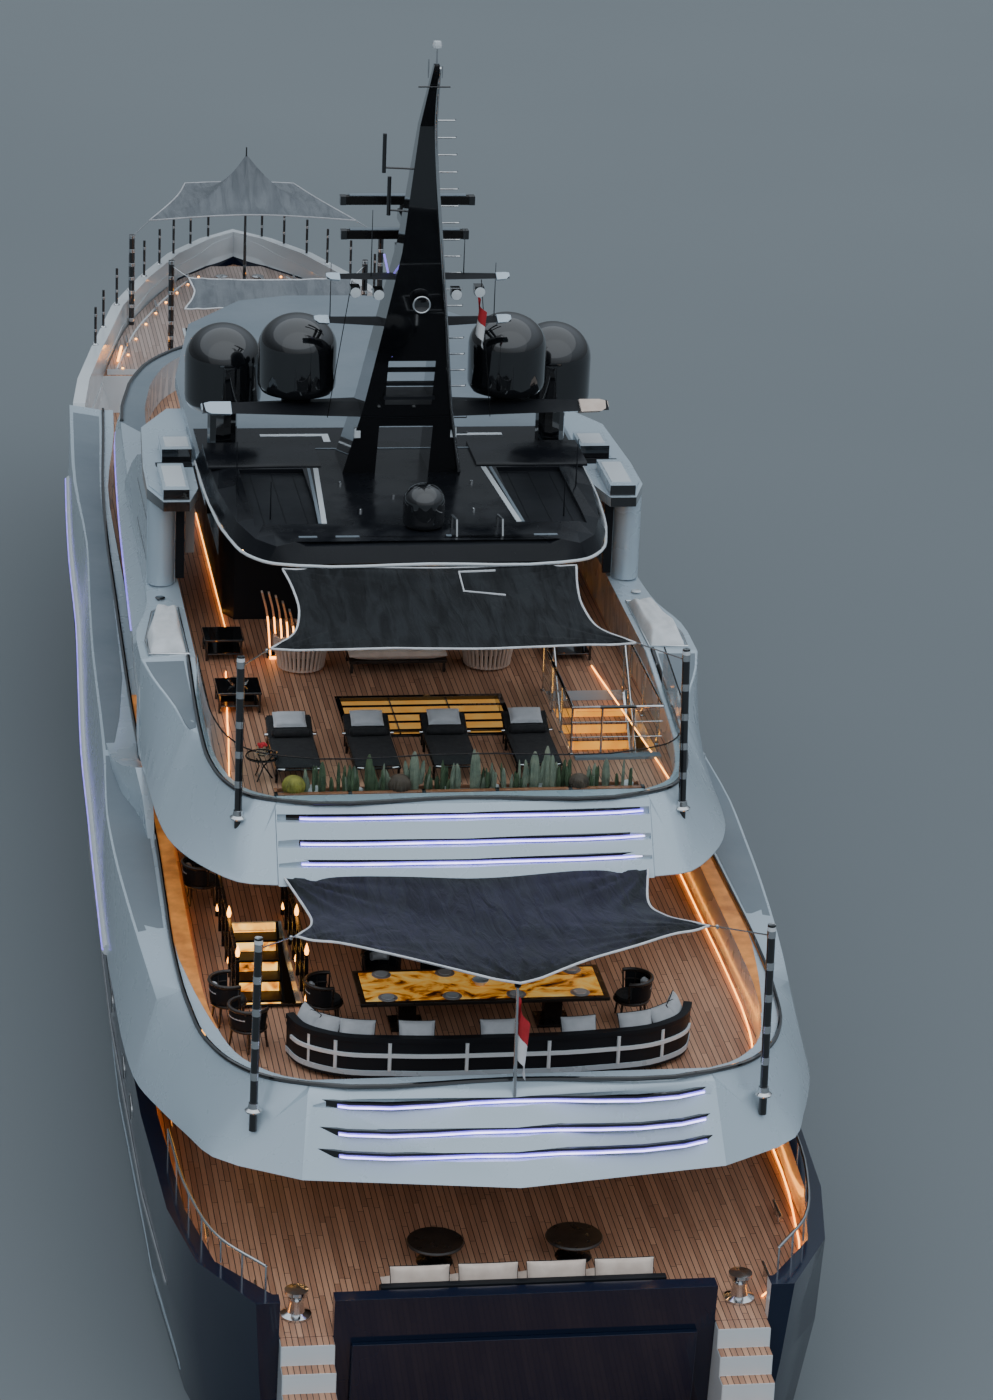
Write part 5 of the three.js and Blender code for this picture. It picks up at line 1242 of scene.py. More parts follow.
def stair_rails():
    steel, glass, wall = Form(), Form(), Form()
    (x0, x1), (y0, y1) = WELL["x"], WELL["y"]
    z, top = BRIDGE_Z, BRIDGE_Z + RAIL
    port, starboard, aft = x0 - 0.06, x1 + 0.05, y0 - 0.05
    posts = [(port, y) for y in (y0 - 0.02, -14.1, -13.0, y1 + 0.02)]
    posts += [(starboard, y) for y in (-14.8, -13.3, y1)] + [(x, aft) for x in (3.0, 3.6)]
    for x, y in posts:
        steel.upright(x, y, z, top, 0.022, sides=10)
        steel.turned([(0.05, 0), (0.05, 0.02), (0.025, 0.03)], (x, y, z), 16)
    rail = [(port, y1 + 0.02, top), (port, aft, top), (starboard, aft, top)]
    steel.pipe(rail, 0.028, 10)
    steel.pipe([(starboard, aft, top), (starboard, y1, top)], 0.028, 10)
    for level in (0.35, 0.65):
        steel.pipe([(x, y, z + level) for x, y, _ in rail], 0.012)
    for p, q in zip(rail, rail[1:]):
        steel.rod(between(p, q, 0.3), between(p, q, 0.7), 0.034, mark=1)
    for x in (x0 + 0.1, x1 - 0.1):
        foot, head = (x, y0 + 0.3, UPPER_Z + RAIL), (x, y1 - 0.1, top)
        steel.pipe([(x, y0 + 0.15, UPPER_Z), foot, head, (x, y1 - 0.1, z)], 0.025, 10)
        for k in range(1, 5):
            p = between(foot, head, k / 5)
            steel.upright(*p[:2], p[2] - RAIL, p[2], 0.014, sides=8)
    piece(steel, "stair_rails", [STEEL, BLACK], smooth=50)
    pane = z + 0.05, top - 0.08
    glass.box((port - 0.008, port + 0.008), (y0, y1), pane)
    glass.box((x0, x1), (aft - 0.008, aft + 0.008), pane)
    piece(glass, "stair_glass", [CLEAR])
    wall.box((x0 + 0.02, x1 - 0.02), (y1 + 0.002, y1 + 0.03), (z - 1.6, z - 0.36), 0)
    wall.box((x0 - 0.02, x1 + 0.02), (y0 - 0.32, y0 - 0.1), (z, z + 0.05), 1)
    piece(wall, "stair_lit_wall", [GLOW_PANEL, GREY])


# Amber strips along the edges of the decks. Columns: x, y on the main deck
MAIN_EDGE = [(4.15, -26.2), (4.95, -25.2), (5.3, -23.4), (5.5, -20.0), (5.6, -13.0), (5.55, -5.0)]


def deck_edge_lights():
    made = Form()
    upper = [(row[0] - 0.09, row[1] + 0.1, UPPER_Z + 0.03) for row in fair(UPPER_SHELL, 3)
             if row[0] > 3.3 and row[1] < -8]
    main = [(x, y, MAIN_Z + 0.03) for x, y in fair(MAIN_EDGE, 4)]
    bridge = [(3.62, -10.6, BRIDGE_Z + 0.02), (4.08, -16.6, BRIDGE_Z + 0.02)]
    for line, radius in ((upper, 0.014), (bridge, 0.014), (main, 0.016)):
        for side in BOTH:
            made.pipe(mirrored(line, side), radius, 6)
    piece(made, "deck_edge_lights", [AMBER])


loungers()
armchairs()
bench()
small_tables()
planter()
skylight()
bridge_balustrade()
stair_rails()
deck_edge_lights()


# Awnings: rows from the forward edge to the aft one
# Columns: y at the middle, y at the edge, half-breadth, z at the edge, z at the middle

AWNING_BRIDGE = [
    (-12.9, -12.9, 2.8, 11.36, 11.36),
    (-13.8, -13.8, 2.68, 11.22, 11.24),
    (-14.6, -14.6, 2.66, 11.1, 11.14),
    (-15.5, -15.6, 2.9, 11.02, 11.02),
    (-16.2, -16.32, 3.36, 11.04, 10.95),
]
AWNING_UPPER = [
    (-19.0, -18.8, 3.3, 7.63, 7.63),
    (-20.4, -20.2, 3.05, 7.6, 7.6),
    (-22.4, -21.5, 3.1, 7.9, 7.8),
    (-24.95, -23.1, 3.55, 8.4, 8.3),
]
AWNING_FORE = [
    (17.3, 17.3, 2.1, 8.65, 8.6),
    (16.7, 16.7, 2.0, 8.45, 8.45),
    (16.0, 16.0, 2.3, 8.2, 8.25),
]
AWNING_STEPS = {"across": 96, "along": 12}
CLOTH = 0.012


def awning_points(rows, folds, bow):
    """The upper side of an awning as rows of points, with folds that fan out from its corners. bow is the
    power of its edges' curve: 2 for a round edge, less for one drawn out to a point at the middle."""
    count = AWNING_STEPS["across"]
    made = []
    fine = fair(rows, AWNING_STEPS["along"])
    corners = [(side * row[2], row[1]) for row in (rows[0], rows[-1]) for side in BOTH]
    if bow < 2:
        corners.append((0, rows[-1][0]))
    for y_middle, y_edge, half, z_edge, z_middle in fine:
        line = []
        for i in range(count + 1):
            t = 2 * i / count - 1
            x, y = half * t, blend(y_edge, y_middle, (1 - abs(t)) ** 1.25 if bow < 2 else 1 - t * t)
            z = blend(z_middle, z_edge, t * t)
            for cx, cy in corners:
                dx, dy = x - cx, y - cy
                reach = math.hypot(dx, dy)
                turn = math.atan2(dy, dx)
                ease = min(1, reach / 0.5) * math.exp(-reach / 1.1)
                z += folds * ease * (math.sin(19 * turn + 0.8 * cx) + 0.5 * math.sin(33 * turn))
            z += folds * 0.35 * math.sin(1.7 * x + 2.1 * y) * (1 - t ** 4)
            line.append((x, y, z))
        made.append(line)
    return made


def cloth(form, points):
    """A thin closed sheet under rows of points."""
    form.rings([line + [(x, y, z - CLOTH) for x, y, z in reversed(line)] for line in points])


def cloth_area(points):
    total = 0
    for a, b in zip(points, points[1:]):
        for i in range(len(a) - 1):
            p, q, r, t = (Vector(v) for v in (a[i], a[i + 1], b[i + 1], b[i]))
            total += (q - p).cross(t - p).length / 2 + (q - r).cross(t - r).length / 2
    return total * SHIP ** 2


def border(points):
    """The line round a sheet's edge, half-way through the cloth."""
    line = list(points[0]) + [row[-1] for row in points[1:]] + list(reversed(points[-1]))[1:]
    line += [row[0] for row in reversed(points[1:-1])]
    return [(x, y, z - CLOTH / 2) for x, y, z in line]


def awning(name, rows, material, slot, folds, bow, node_name, tied, pole_top):
    """An awning with its piping and the lines to its poles from the corners of the tied row."""
    points = awning_points(rows, folds, bow)
    made, trim = Form(), Form()
    cloth(made, points)
    sheet = piece(made, name, [material], slot=slot, smooth=60)
    trim.pipe(border(points), 0.022, 6, closed=True)
    x, y, z = points[tied][-1]
    for side in BOTH:
        start = (side * x, y, z)
        end = (side * pole_top[0], *pole_top[1:])
        trim.rod(start, end, 0.014, sides=8, mark=1)
        trim.turned([(AXIS, -0.04), (0.03, -0.03), (0.03, 0.03), (AXIS, 0.04)], between(start, end, 0.12),
                    12, 1)
    piping = piece(trim, name + "_piping", [PIPING, STEEL], smooth=60)
    width = 2 * max(row[2] for row in rows) * SHIP
    long = sum(math.dist(a[len(a) // 2], b[len(b) // 2]) for a, b in zip(points, points[1:])) * SHIP
    area = cloth_area(points)
    width = max(width, area / long)
    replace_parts(sheet, node_name)
    return points


def awnings():
    points = awning("bridge_awning", AWNING_BRIDGE, DARK_CANVAS, "dark_canvas", 0.045, 2, "awning_bridge",
                    -1, (4.02, -17.67, 11.2))
    patch = Form()
    path = []
    for across, along in ((0.72, 0.08), (0.6, 0.08), (0.6, 0.3), (0.74, 0.34)):
        line = points[int(along * (len(points) - 1))]
        x, y, z = line[int(across * (len(line) - 1))]
        path.append((x, y, z + CLOTH))
    patch.pipe(path, 0.022, 6)
    piece(patch, "bridge_awning_patch", [PIPING], smooth=60)
    awning("upper_awning", AWNING_UPPER, DARK_CANVAS, "dark_canvas", 0.055, 1, "awning_upper",
           -1, (4.31, -24.45, 8.8))
    awning("fore_awning", AWNING_FORE, PALE_CANVAS, "pale_canvas", 0.02, 2, "awning_fore",
           0, (2.5, 17.9, 8.8))
    bow_tent()


TENT = {"peak": (0, 24.3, 10.1), "hem": 8.87, "x": (2.76, 1.5), "y": (22.2, 26.2), "post": (3.3, 21.0, 8.75)}


def bow_tent():
    """The pointed awning on the bow, with sides that sweep up to its peak."""
    (wide, narrow), (aft, fore) = TENT["x"], TENT["y"]
    hem, peak = TENT["hem"], TENT["peak"]
    corners = [(-wide, aft), (wide, aft), (narrow, fore), (-narrow, fore)]
    rim = []
    for a, b in zip(corners, corners[1:] + corners[:1]):
        for t in (k / 12 for k in range(12)):
            x, y = between(a, b, t)
            pull = 0.1 * math.sin(math.pi * t)
            rim.append((blend(x, 0, pull), blend(y, 24.2, pull), hem + pull))
    rings = []
    for t in (k / 12 for k in range(13)):
        ring = []
        for i, (x, y, z) in enumerate(rim):
            fold = 0.012 * math.sin(i * math.pi / 3) * math.sin(math.pi * t)
            ring.append((blend(x, peak[0], t * 0.985), blend(y, peak[1], t * 0.985),
                         blend(z, peak[2], t ** 2.6) + fold))
        rings.append(ring)
    made, trim = Form(), Form()
    made.rings(rings + [[(x, y, z - CLOTH) for x, y, z in ring] for ring in reversed(rings)], loop=True)
    sheet = piece(made, "bow_awning", [PALE_CANVAS], slot="pale_canvas", smooth=60)
    trim.pipe(rim, 0.02, 6, closed=True)
    for side in BOTH:
        trim.rod((side * wide, aft, hem), (side * TENT["post"][0], *TENT["post"][1:]), 0.014, sides=8, mark=1)
    piping = piece(trim, "bow_awning_piping", [PALE_GREY, STEEL], smooth=60)
    area = cloth_area([ring + ring[:1] for ring in rings])
    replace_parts(sheet, "awning_bow")


# Mast: rungs, slats, lamps, horn, antennas and flag

# The mast wings' tips. Columns: z, y, distance out, chord
MAST_WINGS = [(13.25, -8.8, 4.0, 0.6), (15.2, -9.37, 1.9, 0.4), (16.2, -9.9, 1.75, 0.35)]
SLAT_Z = (13.58, 13.86, 14.14)
RUNGS = {"low": (1.05, -8.0, 12.0), "high": (0.2, -10.4, 19.5), "first": 12.5, "step": 0.36, "count": 20}
MAST_TUBE = [(1.12, -8.6, 11.85), (0.84, -9.15, 13.4), (0.6, -9.85, 15.2), (0.37, -10.45, 16.9),
             (0.15, -10.68, 19.2), (0.06, -11.5, 20.6)]
WHIPS = [(-1.6, -9.3, 15.2, 1.1), (1.6, -9.3, 15.2, 1.1), (-0.9, -9.9, 16.2, 1.3), (0.9, -9.8, 16.2, 0.9)]
HORN = (0.05, -10.1, 15.72)
# Radar bars. Columns: name, z, y, half-length
RADARS = [("lower", 16.25, -7.85, 1.2), ("upper", 17.0, -8.1, 1.26)]


def mast_details():
    made, tips = Form(), Form()
    for z in SLAT_Z:
        made.box((-0.5, 0.5), (-9.3, -9.16), (z - 0.03, z + 0.03), 4)
    low, high = RUNGS["low"], RUNGS["high"]
    for k in range(RUNGS["count"]):
        z = RUNGS["first"] + RUNGS["step"] * k
        x, y, _ = between(low, high, (z - low[2]) / (high[2] - low[2]))
        made.pipe([(x - 0.02, y, z), (x + 0.34, y, z), (x + 0.34, y, z + 0.03)], 0.014, 6, 1)
    made.pipe(fair(MAST_TUBE, 6), 0.035, mark=1)
    made.upright(0, -11.52, 20.6, 21.0, 0.02, 0.012, 8, 1)
    for x, height, radius in ((-0.14, 0.35, 0.012), (0.12, 0.22, 0.01)):
        made.upright(x, -11.45, 20.4, 20.4 + height, radius, sides=8, mark=1)
    made.rod((-0.3, -11.3, 20.2), (0.3, -11.3, 20.2), 0.016, sides=8)
    made.turned([(0.08, 0), (0.09, 0.05), (0.07, 0.12), (AXIS, 0.13)], (0, -11.5, 20.98), 20, 2)
    for x, y, z in ((-0.75, -10.2, 18.3), (-0.6, -9.9, 17.4)):
        made.upright(x, y, z, z + 0.75, 0.04, sides=10)
        made.rod((x, y, z + 0.1), (-0.2, y - 0.1, z + 0.1), 0.02, sides=8)
    facing_aft = Matrix.Rotation(math.radians(90), 4, "X").to_3x3()
    made.turned([(0.13, 0), (0.17, 0.06), (0.17, 0.12), (0.13, 0.1), (AXIS, 0.09)], HORN, 28, 0, facing_aft)
    made.pipe([(x, HORN[1] - 0.12, HORN[2] + z) for x, z, _ in circle(HORN[0], 0, 0, 0.16, 28)], 0.02, 8, 1,
              closed=True)
    lens = [(0.08, 0), (0.1, 0.05), (AXIS, 0.06)]
    for side in BOTH:
        for x, z in ((1.2, 15.95), (0.75, 15.9)):
            made.box((side * x - 0.09, side * x + 0.09), (-9.95, -9.7), (z - 0.12, z + 0.05))
            made.turned(lens, (side * x, -9.97, z - 0.04), 16, 2, facing_aft)
        made.box((side * 0.95 - 0.06, side * 0.95 + 0.06), (-8.9, -8.8), (12.65, 12.85), 2)
    for x, y, z, height in WHIPS:
        made.upright(x, y, z, z + height, 0.012, 0.006, 6)
    for x, z in ((-0.62, 16.55), (-0.5, 14.9)):
        made.rod((x, -9.6, z), (x + 0.1, -9.55, z - 0.4), 0.02, sides=6, mark=3)
    piece(made, "mast_details", [BLACK, STEEL, WHITE, VIOLET, MATT_BLACK], smooth=50)
    for z, y, out, chord in MAST_WINGS:
        for side in BOTH:
            x0, x1 = side * out * 0.86, side * (out + 0.02)
            rings = [[(x, y + dy * c, z + h + dz * c)
                      for dy, dz in ((-0.55, 0), (0, -0.22), (0.55, 0), (0, 0.22))]
                     for x, c, h in ((x0, chord * 1.12, -0.01), (blend(x0, x1, 0.7), chord * 1.05, 0),
                                     (x1, chord * 0.5, 0.03))]
            # Painted highlight: the starboard tip of the lowest wing is cream, a lit copy of the silver tip
            tips.rings(rings, 1 if side > 0 and out > 3 else 0)
    piece(tips, "mast_wing_tips", [SILVER, CREAM], smooth=30, bevel=0.01)
    for name, z, y, half in RADARS:
        bars = Form()
        bars.box((0.12 - half, half - 0.12), (y - 0.085, y + 0.085), (z + 0.325, z + 0.345))
        for x in (-half, half):
            bars.box((x - 0.06, x + 0.06), (y - 0.088, y + 0.088), (z + 0.146, z + 0.325), 1)
        piece(bars, f"radar_{name}_trim", [GREY, BLACK], body=f"radar_scanner_{name}", bevel=0.006)


def flag(name, foot_x, foot_y, top, size, droop):
    """A limp flag beside its staff, in two bands from the hoist down."""
    long, high = size
    rows = []
    for v in (j / 12 for j in range(13)):
        line = []
        for u in (i / 14 for i in range(15)):
            x = foot_x + u * long * droop + 0.04 * math.sin(9 * u + 3 * v)
            y = foot_y + 0.07 * math.sin(7 * u + 2 * v) - 0.05 * u
            line.append((x, y, top - high * v - u * long * (1 - droop) * 0.9))
        rows.append(line)
    made = Form()
    half = len(rows) // 2
    for part, mark in ((rows[:half + 1], 0), (rows[half:], 1)):
        made.rings([line + [(x, y + 0.006, z) for x, y, z in reversed(line)] for line in part], mark)
    sheet = piece(made, name, [RED, FLAG_WHITE], smooth=60)
    cloth_area(rows)


def flags():
    flag("ensign", 0, -24.72, 7.95, (0.85, 1.0), 0.25)
    flag("courtesy_flag", 1.2, -9.75, 15.75, (0.55, 0.7), 0.3)
    halyard = Form()
    for side in BOTH:
        halyard.rod((side * 1.25, -9.8, 16.1), (side * 1.6, -9.3, 13.2), 0.008, sides=6)
    halyard.turned([(AXIS, 0), (0.05, 0.02), (0.06, 0.06), (0.03, 0.1), (AXIS, 0.11)], (0, -24.7, 8.08), 16)
    piece(halyard, "halyards", [DARK_METAL])
    dress("ensign_staff", [STEEL], None, 0.004)
    dress("foredeck", [PALE_TEAK, WHITE, BLACK],
          lambda normal, centre: 2 if centre.z > FOREDECK_Z + 0.02 else 0 if normal.z > 0.9 else 1, 0.01)


awnings()
mast_details()
flags()


# Stair down from the upper deck: dark treads with lit onyx risers

PORT_STAIR = {"x": (-4.15, -3.05), "y": (-19.9, -16.2)}
NEWEL_LAMP = [(AXIS, 0), (0.03, 0.02), (0.042, 0.09), (0.025, 0.17), (AXIS, 0.24)]
FOOT_LAMP = [(AXIS, 0), (0.025, 0.02), (0.03, 0.07), (0.015, 0.13), (AXIS, 0.17)]


def flight(form, x, foot, head, count, marks):
    """Treads and risers from a foot to a head, each as (y, z). marks: tread, riser, stringer."""
    run, rise = (head[0] - foot[0]) / count, (head[1] - foot[1]) / count
    for i in range(count):
        y, z = foot[0] + run * i, foot[1] + rise * (i + 1)
        form.box((x[0] + 0.05, x[1] - 0.05), (y - 0.03, y + run), (z - 0.045, z), marks[0])
        form.box((x[0] + 0.07, x[1] - 0.07), (y + 0.01, y + 0.04), (z - rise, z - 0.05), marks[1])
    for port in (x[0], x[1] - 0.05):
        form.rings([[(port + dx, y, z + dz) for dx, dz in ((0, -0.1), (0.05, -0.1), (0.05, 0.2), (0, 0.2))]
                    for y, z in (foot, head)], marks[2])


def stairs():
    (x0, x1), (y0, y1) = PORT_STAIR["x"], PORT_STAIR["y"]
    main, bridge, rails, lamps = (Form() for _ in range(4))
    flight(main, (x0 + 0.05, x1 - 0.05), (y0 + 0.1, MAIN_Z + 0.1), (y1 - 0.01, UPPER_Z - 0.2), 10, (0, 1, 0))
    treads = piece(main, "main_stair_flight", [MATT_BLACK, ONYX], bevel=0.004, slot="dark_metal")
    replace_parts(treads, "main_stair")
    flight(bridge, (2.55, 4.05), (-15.1, UPPER_Z + 0.1), (-11.91, BRIDGE_Z - 0.2), 11, (0, 1, 2))
    treads = piece(bridge, "bridge_stair_flight", [TEAK, GLOW_PANEL, STEEL], bevel=0.004, slot="dark_metal")
    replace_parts(treads, "bridge_stair")
    z, top = UPPER_Z, UPPER_Z + RAIL
    aft, fore = y0 - 0.05, y1 + 0.3
    for x in (x0 - 0.06, x1 + 0.06):
        for k in range(7):
            rails.post(x, blend(aft, fore, k / 6), 0.035, (z, top))
        rails.box((x - 0.03, x + 0.03), (aft, fore), (top, top + 0.05))
        for level in (z + 0.3, z + 0.6):
            rails.box((x - 0.012, x + 0.012), (aft, fore), (level, level + 0.025))
        for y in (aft, blend(y0, y1, 0.45), fore):
            lamps.turned(NEWEL_LAMP, (x, y, top + 0.05), 12)
            lamps.turned(FOOT_LAMP, (x, y - 0.07, z + 0.12), 10)
    rails.box((x0 - 0.06, x1 + 0.06), (aft - 0.025, aft + 0.025), (z + 0.02, z + 0.07))
    for band in ((5.27, 5.41), (5.44, 5.57)):
        rails.box((x0 + 0.06, x1 - 0.06), (y1 - 0.03, y1 - 0.004), band, 1)
    piece(rails, "main_stair_balustrade", [DARK_METAL, ONYX], bevel=0.006)
    piece(lamps, "main_stair_lamps", [AMBER], smooth=60)


# Dining table, chairs and sofa on the upper deck

TABLE = {"x": (-2.2, 2.2), "y": (-21.5, -20.1), "top": 0.75}
# Columns: x, y, turn in degrees (0 faces the bow)
CHAIRS = [(-4.4, -20.45, -80), (-4.15, -21.5, -50), (-4.45, -15.2, -90), (-2.72, -20.6, -90)]
CHAIRS += [(x, -19.55, 180) for x in (-1.6, -0.55, 0.55, 1.6)] + [(2.72, -20.8, 90)]
CHAIR = {"radius": 0.3, "seat": 0.43, "back": 0.8}
# Radius and height of what stands on the table
DISH = [(0.17, 0), (0.175, 0.006), (AXIS, 0.008)]
SAUCER = [(0.07, 0), (0.12, 0.014), (0.118, 0.02), (AXIS, 0.012)]
TABLE_BOWL = [(0.09, 0), (0.15, 0.08), (0.14, 0.09), (0.08, 0.02), (AXIS, 0.012)]


def chair(frame, pads, x, y, turn):
    """A black round-backed chair with a grey seat and back pad."""
    z = ON_UPPER
    front = math.radians(turn) - math.pi / 2
    radius, seat, back = CHAIR["radius"], CHAIR["seat"], CHAIR["back"]

    def bow(r, height, reach, count):
        return arc(x, y, z + height, r, front - reach, front + reach, count)

    def point(r, height, a):
        return arc(x, y, z + height, r, a + front, a + front, 1)[0]

    frame.pipe(arc(x, y, z + seat - 0.04, radius, front, front + 2 * math.pi, 24)[:-1], 0.03, closed=True)
    frame.pipe(bow(radius + 0.05, back, 1.9, 24), 0.035)
    frame.pipe(bow(radius + 0.03, back - 0.17, 1.7, 24), 0.016, 6)
    for a in (-1.9, -1.2, -0.6, 0, 0.6, 1.2, 1.9):
        frame.rod(point(radius, seat - 0.03, a), point(radius + 0.05, back, a), 0.016, sides=8)
    for a in (0.8, 2.35, 3.95, 5.5):
        frame.rod(point(radius + 0.03, 0, a), point(radius - 0.02, seat - 0.04, a), 0.018, 0.026, 8)
    pads.turned([(radius * 0.9, -0.05), (radius, -0.01), (radius * 0.93, 0.035), (AXIS, 0.05)],
                (x, y, z + seat + 0.02), 28)
    pads.pipe(bow(radius - 0.02, seat + 0.22, 0.6, 12), 0.075, 10, 1)
    shell = ((0.012, seat + 0.02), (0.04, seat + 0.02), (0.06, back - 0.04), (0.032, back - 0.04))
    frame.rings([[point(radius + out, height, a) for out, height in shell]
                 for a in (blend(-1.75, 1.75, k / 16) for k in range(17))], 1)


def table_and_chairs():
    (x0, x1), (y0, y1) = TABLE["x"], TABLE["y"]
    top = ON_UPPER + TABLE["top"]
    made, plates, frames, pads = (Form() for _ in range(4))
    made.box((x0, x1), (y0, y1), (top - 0.07, top - 0.005))
    made.box((x0 + 0.1, x1 - 0.1), (y0 + 0.1, y1 - 0.1), (top - 0.02, top + 0.002), 1)
    for x in (-1.3, 1.3):
        made.post(x, -20.8, 0.3, (ON_UPPER, ON_UPPER + 0.05), 2)
        made.box((x - 0.16, x + 0.16), (-20.95, -20.65), (ON_UPPER + 0.05, top - 0.07), 2)
    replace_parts(piece(made, "dining_table_top", [EBONY, ONYX_TOP, DARK_METAL], bevel=0.01, slot="dark_wood"),
                "dining_table")
    for k in range(4):
        for y in (y0 + 0.22, y1 - 0.22):
            x = blend(x0 + 0.5, x1 - 0.5, k / 3)
            plates.turned(DISH, (x, y, top + 0.002), 28)
            plates.turned(SAUCER, (x, y, top + 0.01), 28, 1)
    plates.turned(TABLE_BOWL, ((x0 + x1) / 2, (y0 + y1) / 2, top + 0.002), 28, 1)
    piece(plates, "table_settings", [PLATE, WHITE], smooth=50)
    for place in CHAIRS:
        chair(frames, pads, *place)
    piece(frames, "dining_chair_frames", [EBONY, MATT_BLACK], smooth=60)
    piece(pads, "dining_chair_pads", [BLACK_CLOTH, PALE_GREY], smooth=60)


SOFA_PATH = [(-3.45, -21.95), (-3.28, -22.42), (-2.8, -22.8), (-1.7, -23.02), (0, -23.08), (1.7, -23.02),
             (2.8, -22.8), (3.28, -22.42), (3.45, -21.95)]
# Columns: near and far distance inboard of the path, low and high z, material
SOFA_BARS = [(-0.12, 0.03, 0.76, 0.85, 0), (-0.115, -0.1, 0.14, 0.24, 2), (0.0, 0.72, 0.06, 0.26, 0)]
SOFA_PADS = 9


def sofa():
    """A curved sofa: seat, black framed back with steel bars, and leaning cushions."""
    z = ON_UPPER
    line = fair(SOFA_PATH, 6)
    last = len(line) - 1
    made, pads = Form(), Form()

    def inward_at(k):
        along = (Vector(line[min(k + 1, last)]) - Vector(line[max(k - 1, 0)])).normalized()
        return Vector((-along.y, along.x))

    def sweep(form, section, mark, short=0):
        form.rings([[(*(Vector(line[k]) + inward_at(k) * off), z + h) for off, h in section]
                    for k in range(short, last + 1 - short)], mark)

    sweep(made, [(-0.1, 0.08), (0.0, 0.08), (0.0, 0.78), (-0.1, 0.8)], 0)
    for near, far, low, high, mark in SOFA_BARS:
        sweep(made, [(near, low), (far, low), (far, high), (near, high)], mark)
    for k in range(7, last - 6, 5):
        x, y = line[k]
        made.upright(x, y - 0.115, z + 0.24, z + 0.76, 0.034, sides=8, mark=1)
    sweep(made, [(-0.14, 0.49), (-0.1, 0.49), (-0.1, 0.56), (-0.14, 0.56)], 1, 3)
    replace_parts(piece(made, "sofa_frame", [MATT_BLACK, WHITE, SILVER], bevel=0.012, slot="grey_fabric"),
                "aft_sofa")
    sweep(pads, [(0.02, 0.27), (0.7, 0.27), (0.74, 0.34), (0.7, 0.44), (0.02, 0.44)], 0, 2)
    for i in (int(blend(4, last - 4, k / (SOFA_PADS - 1))) for k in range(SOFA_PADS)):
        inward = inward_at(i)
        x, y = Vector(line[i]) + inward * 0.14
        turn = math.atan2(-inward.x, inward.y)
        cushion(pads, (0.62, 0.56, 0.2), at(x, y, z + 0.77, turn, math.radians(66)), 0.5, 1)
    piece(pads, "sofa_cushions", [PALE_GREY, BLACK_CLOTH], slot="grey_fabric", smooth=60)


# Window glass of the three deckhouses. Columns: name, half-breadth, first y of each window, width, z

WINDOWS = [
    ("main", 4.68, (-14.6, -11.1, -7.6), 3.0, (3.7, 4.9)),
    ("upper", 3.88, (-9.9, -6.0, -2.1, 1.8), 3.3, (6.3, 7.7)),
    ("bridge", 3.33, (-6.2, -3.0, -0.4), 2.7, (9.3, 10.8)),
]


def house_rule(normal, centre):
    """Deckhouse walls are black between their ledges, and their ceilings taupe."""
    if normal.z < -0.5:
        return 2
    return 1 if abs(normal.z) < 0.3 else 0


def windows():
    for name, x, places, wide, (low, high) in WINDOWS:
        made = Form()
        for side in BOTH:
            for y in places:
                made.box((side * (x - 0.04), side * (x - 0.01)), (y - 0.04, y + wide + 0.04),
                         (low - 0.04, high + 0.04))
        piece(made, name + "_windows", [TINT], slot="tinted_glass")
        dress(name + "_house", [SILVER, MATT_BLACK, TAUPE], house_rule, 0.015)
    for name in ("upper", "bridge"):
        dress(name + "_saloon_door", [TINT], None, 0)


stairs()
table_and_chairs()
sofa()
windows()


# The white covers in the lockers of the bridge deck's sides, the caps and slots beside them

LOCKER = {"x": (4.5, 5.2), "y": (-12.02, -9.46), "z": 9.3}
LOCKER_RIM = [(4.47, -12.03), (5.23, -12.03), (5.25, -11.3), (5.01, -9.68), (4.87, -9.46), (4.47, -9.42)]
COVER_FLAT = (0.72 * SHIP, 2.62 * SHIP)
# Bars on the walls by the lockers. Columns: x, y, z, material
WALL_BARS = [
    ((4.425, 4.405), (-7.4, -6.9), (9.45, 11.0), 0), ((4.42, 4.4), (-6.8, -5.9), (9.45, 11.0), 3),
    ((4.985, 4.972), (-7.7, -5.2), (9.75, 9.82), 0), ((4.985, 4.972), (-7.7, -5.2), (10.6, 10.67), 0),
]


def locker_covers():
    (x0, x1), (y0, y1) = LOCKER["x"], LOCKER["y"]
    for name, side in SIDES:
        points = []
        for v in (j / 40 for j in range(41)):
            line = []
            for u in (i / 24 for i in range(25)):
                edge = min(u, 1 - u, v, 1 - v)
                swell = 0.24 * min(1, edge * 7) ** 0.6
                fold = 0.03 * abs(math.sin(3 * u + 6 * v)) + 0.005 * math.sin(23 * u + 9 * v)
                fold += 0.016 * math.sin(11 * v - 6 * u) * math.sin(5 * u + 2 * v)
                x = blend(x0, x1 - max(0, v - 0.4) * 0.5, u)
                line.append((side * x, blend(y0, y1, v), LOCKER["z"] + swell + fold * min(1, edge * 9)))
            points.append(line)
        made, trim = Form(), Form()
        cloth(made, points)
        cover = piece(made, "locker_cover_" + name, [COVER], smooth=60)
        min(cloth_area(points), COVER_FLAT[0] * COVER_FLAT[1])
        trim.turned([(0.1, 0), (0.1, 0.015), (0.08, 0.025), (AXIS, 0.026)], (side * 4.78, -8.86, 9.36), 28,
                    0 if side < 0 else 1)
        trim.pipe([(side * x, y, 9.362) for x, y in LOCKER_RIM], 0.02, 6, 2, closed=True)
        for x, ys, zs, mark in WALL_BARS:
            trim.box([side * value for value in x], ys, zs, mark)
        piece(trim, "side_trim_" + name, [BLACK, WHITE, STEEL, COPPER_WOOD], smooth=50)


# Lamps in the ceilings of the side decks and the aft decks, and amber strips at the foot of the walls
# Columns: ceiling z, half-breadth, first y, last y, count

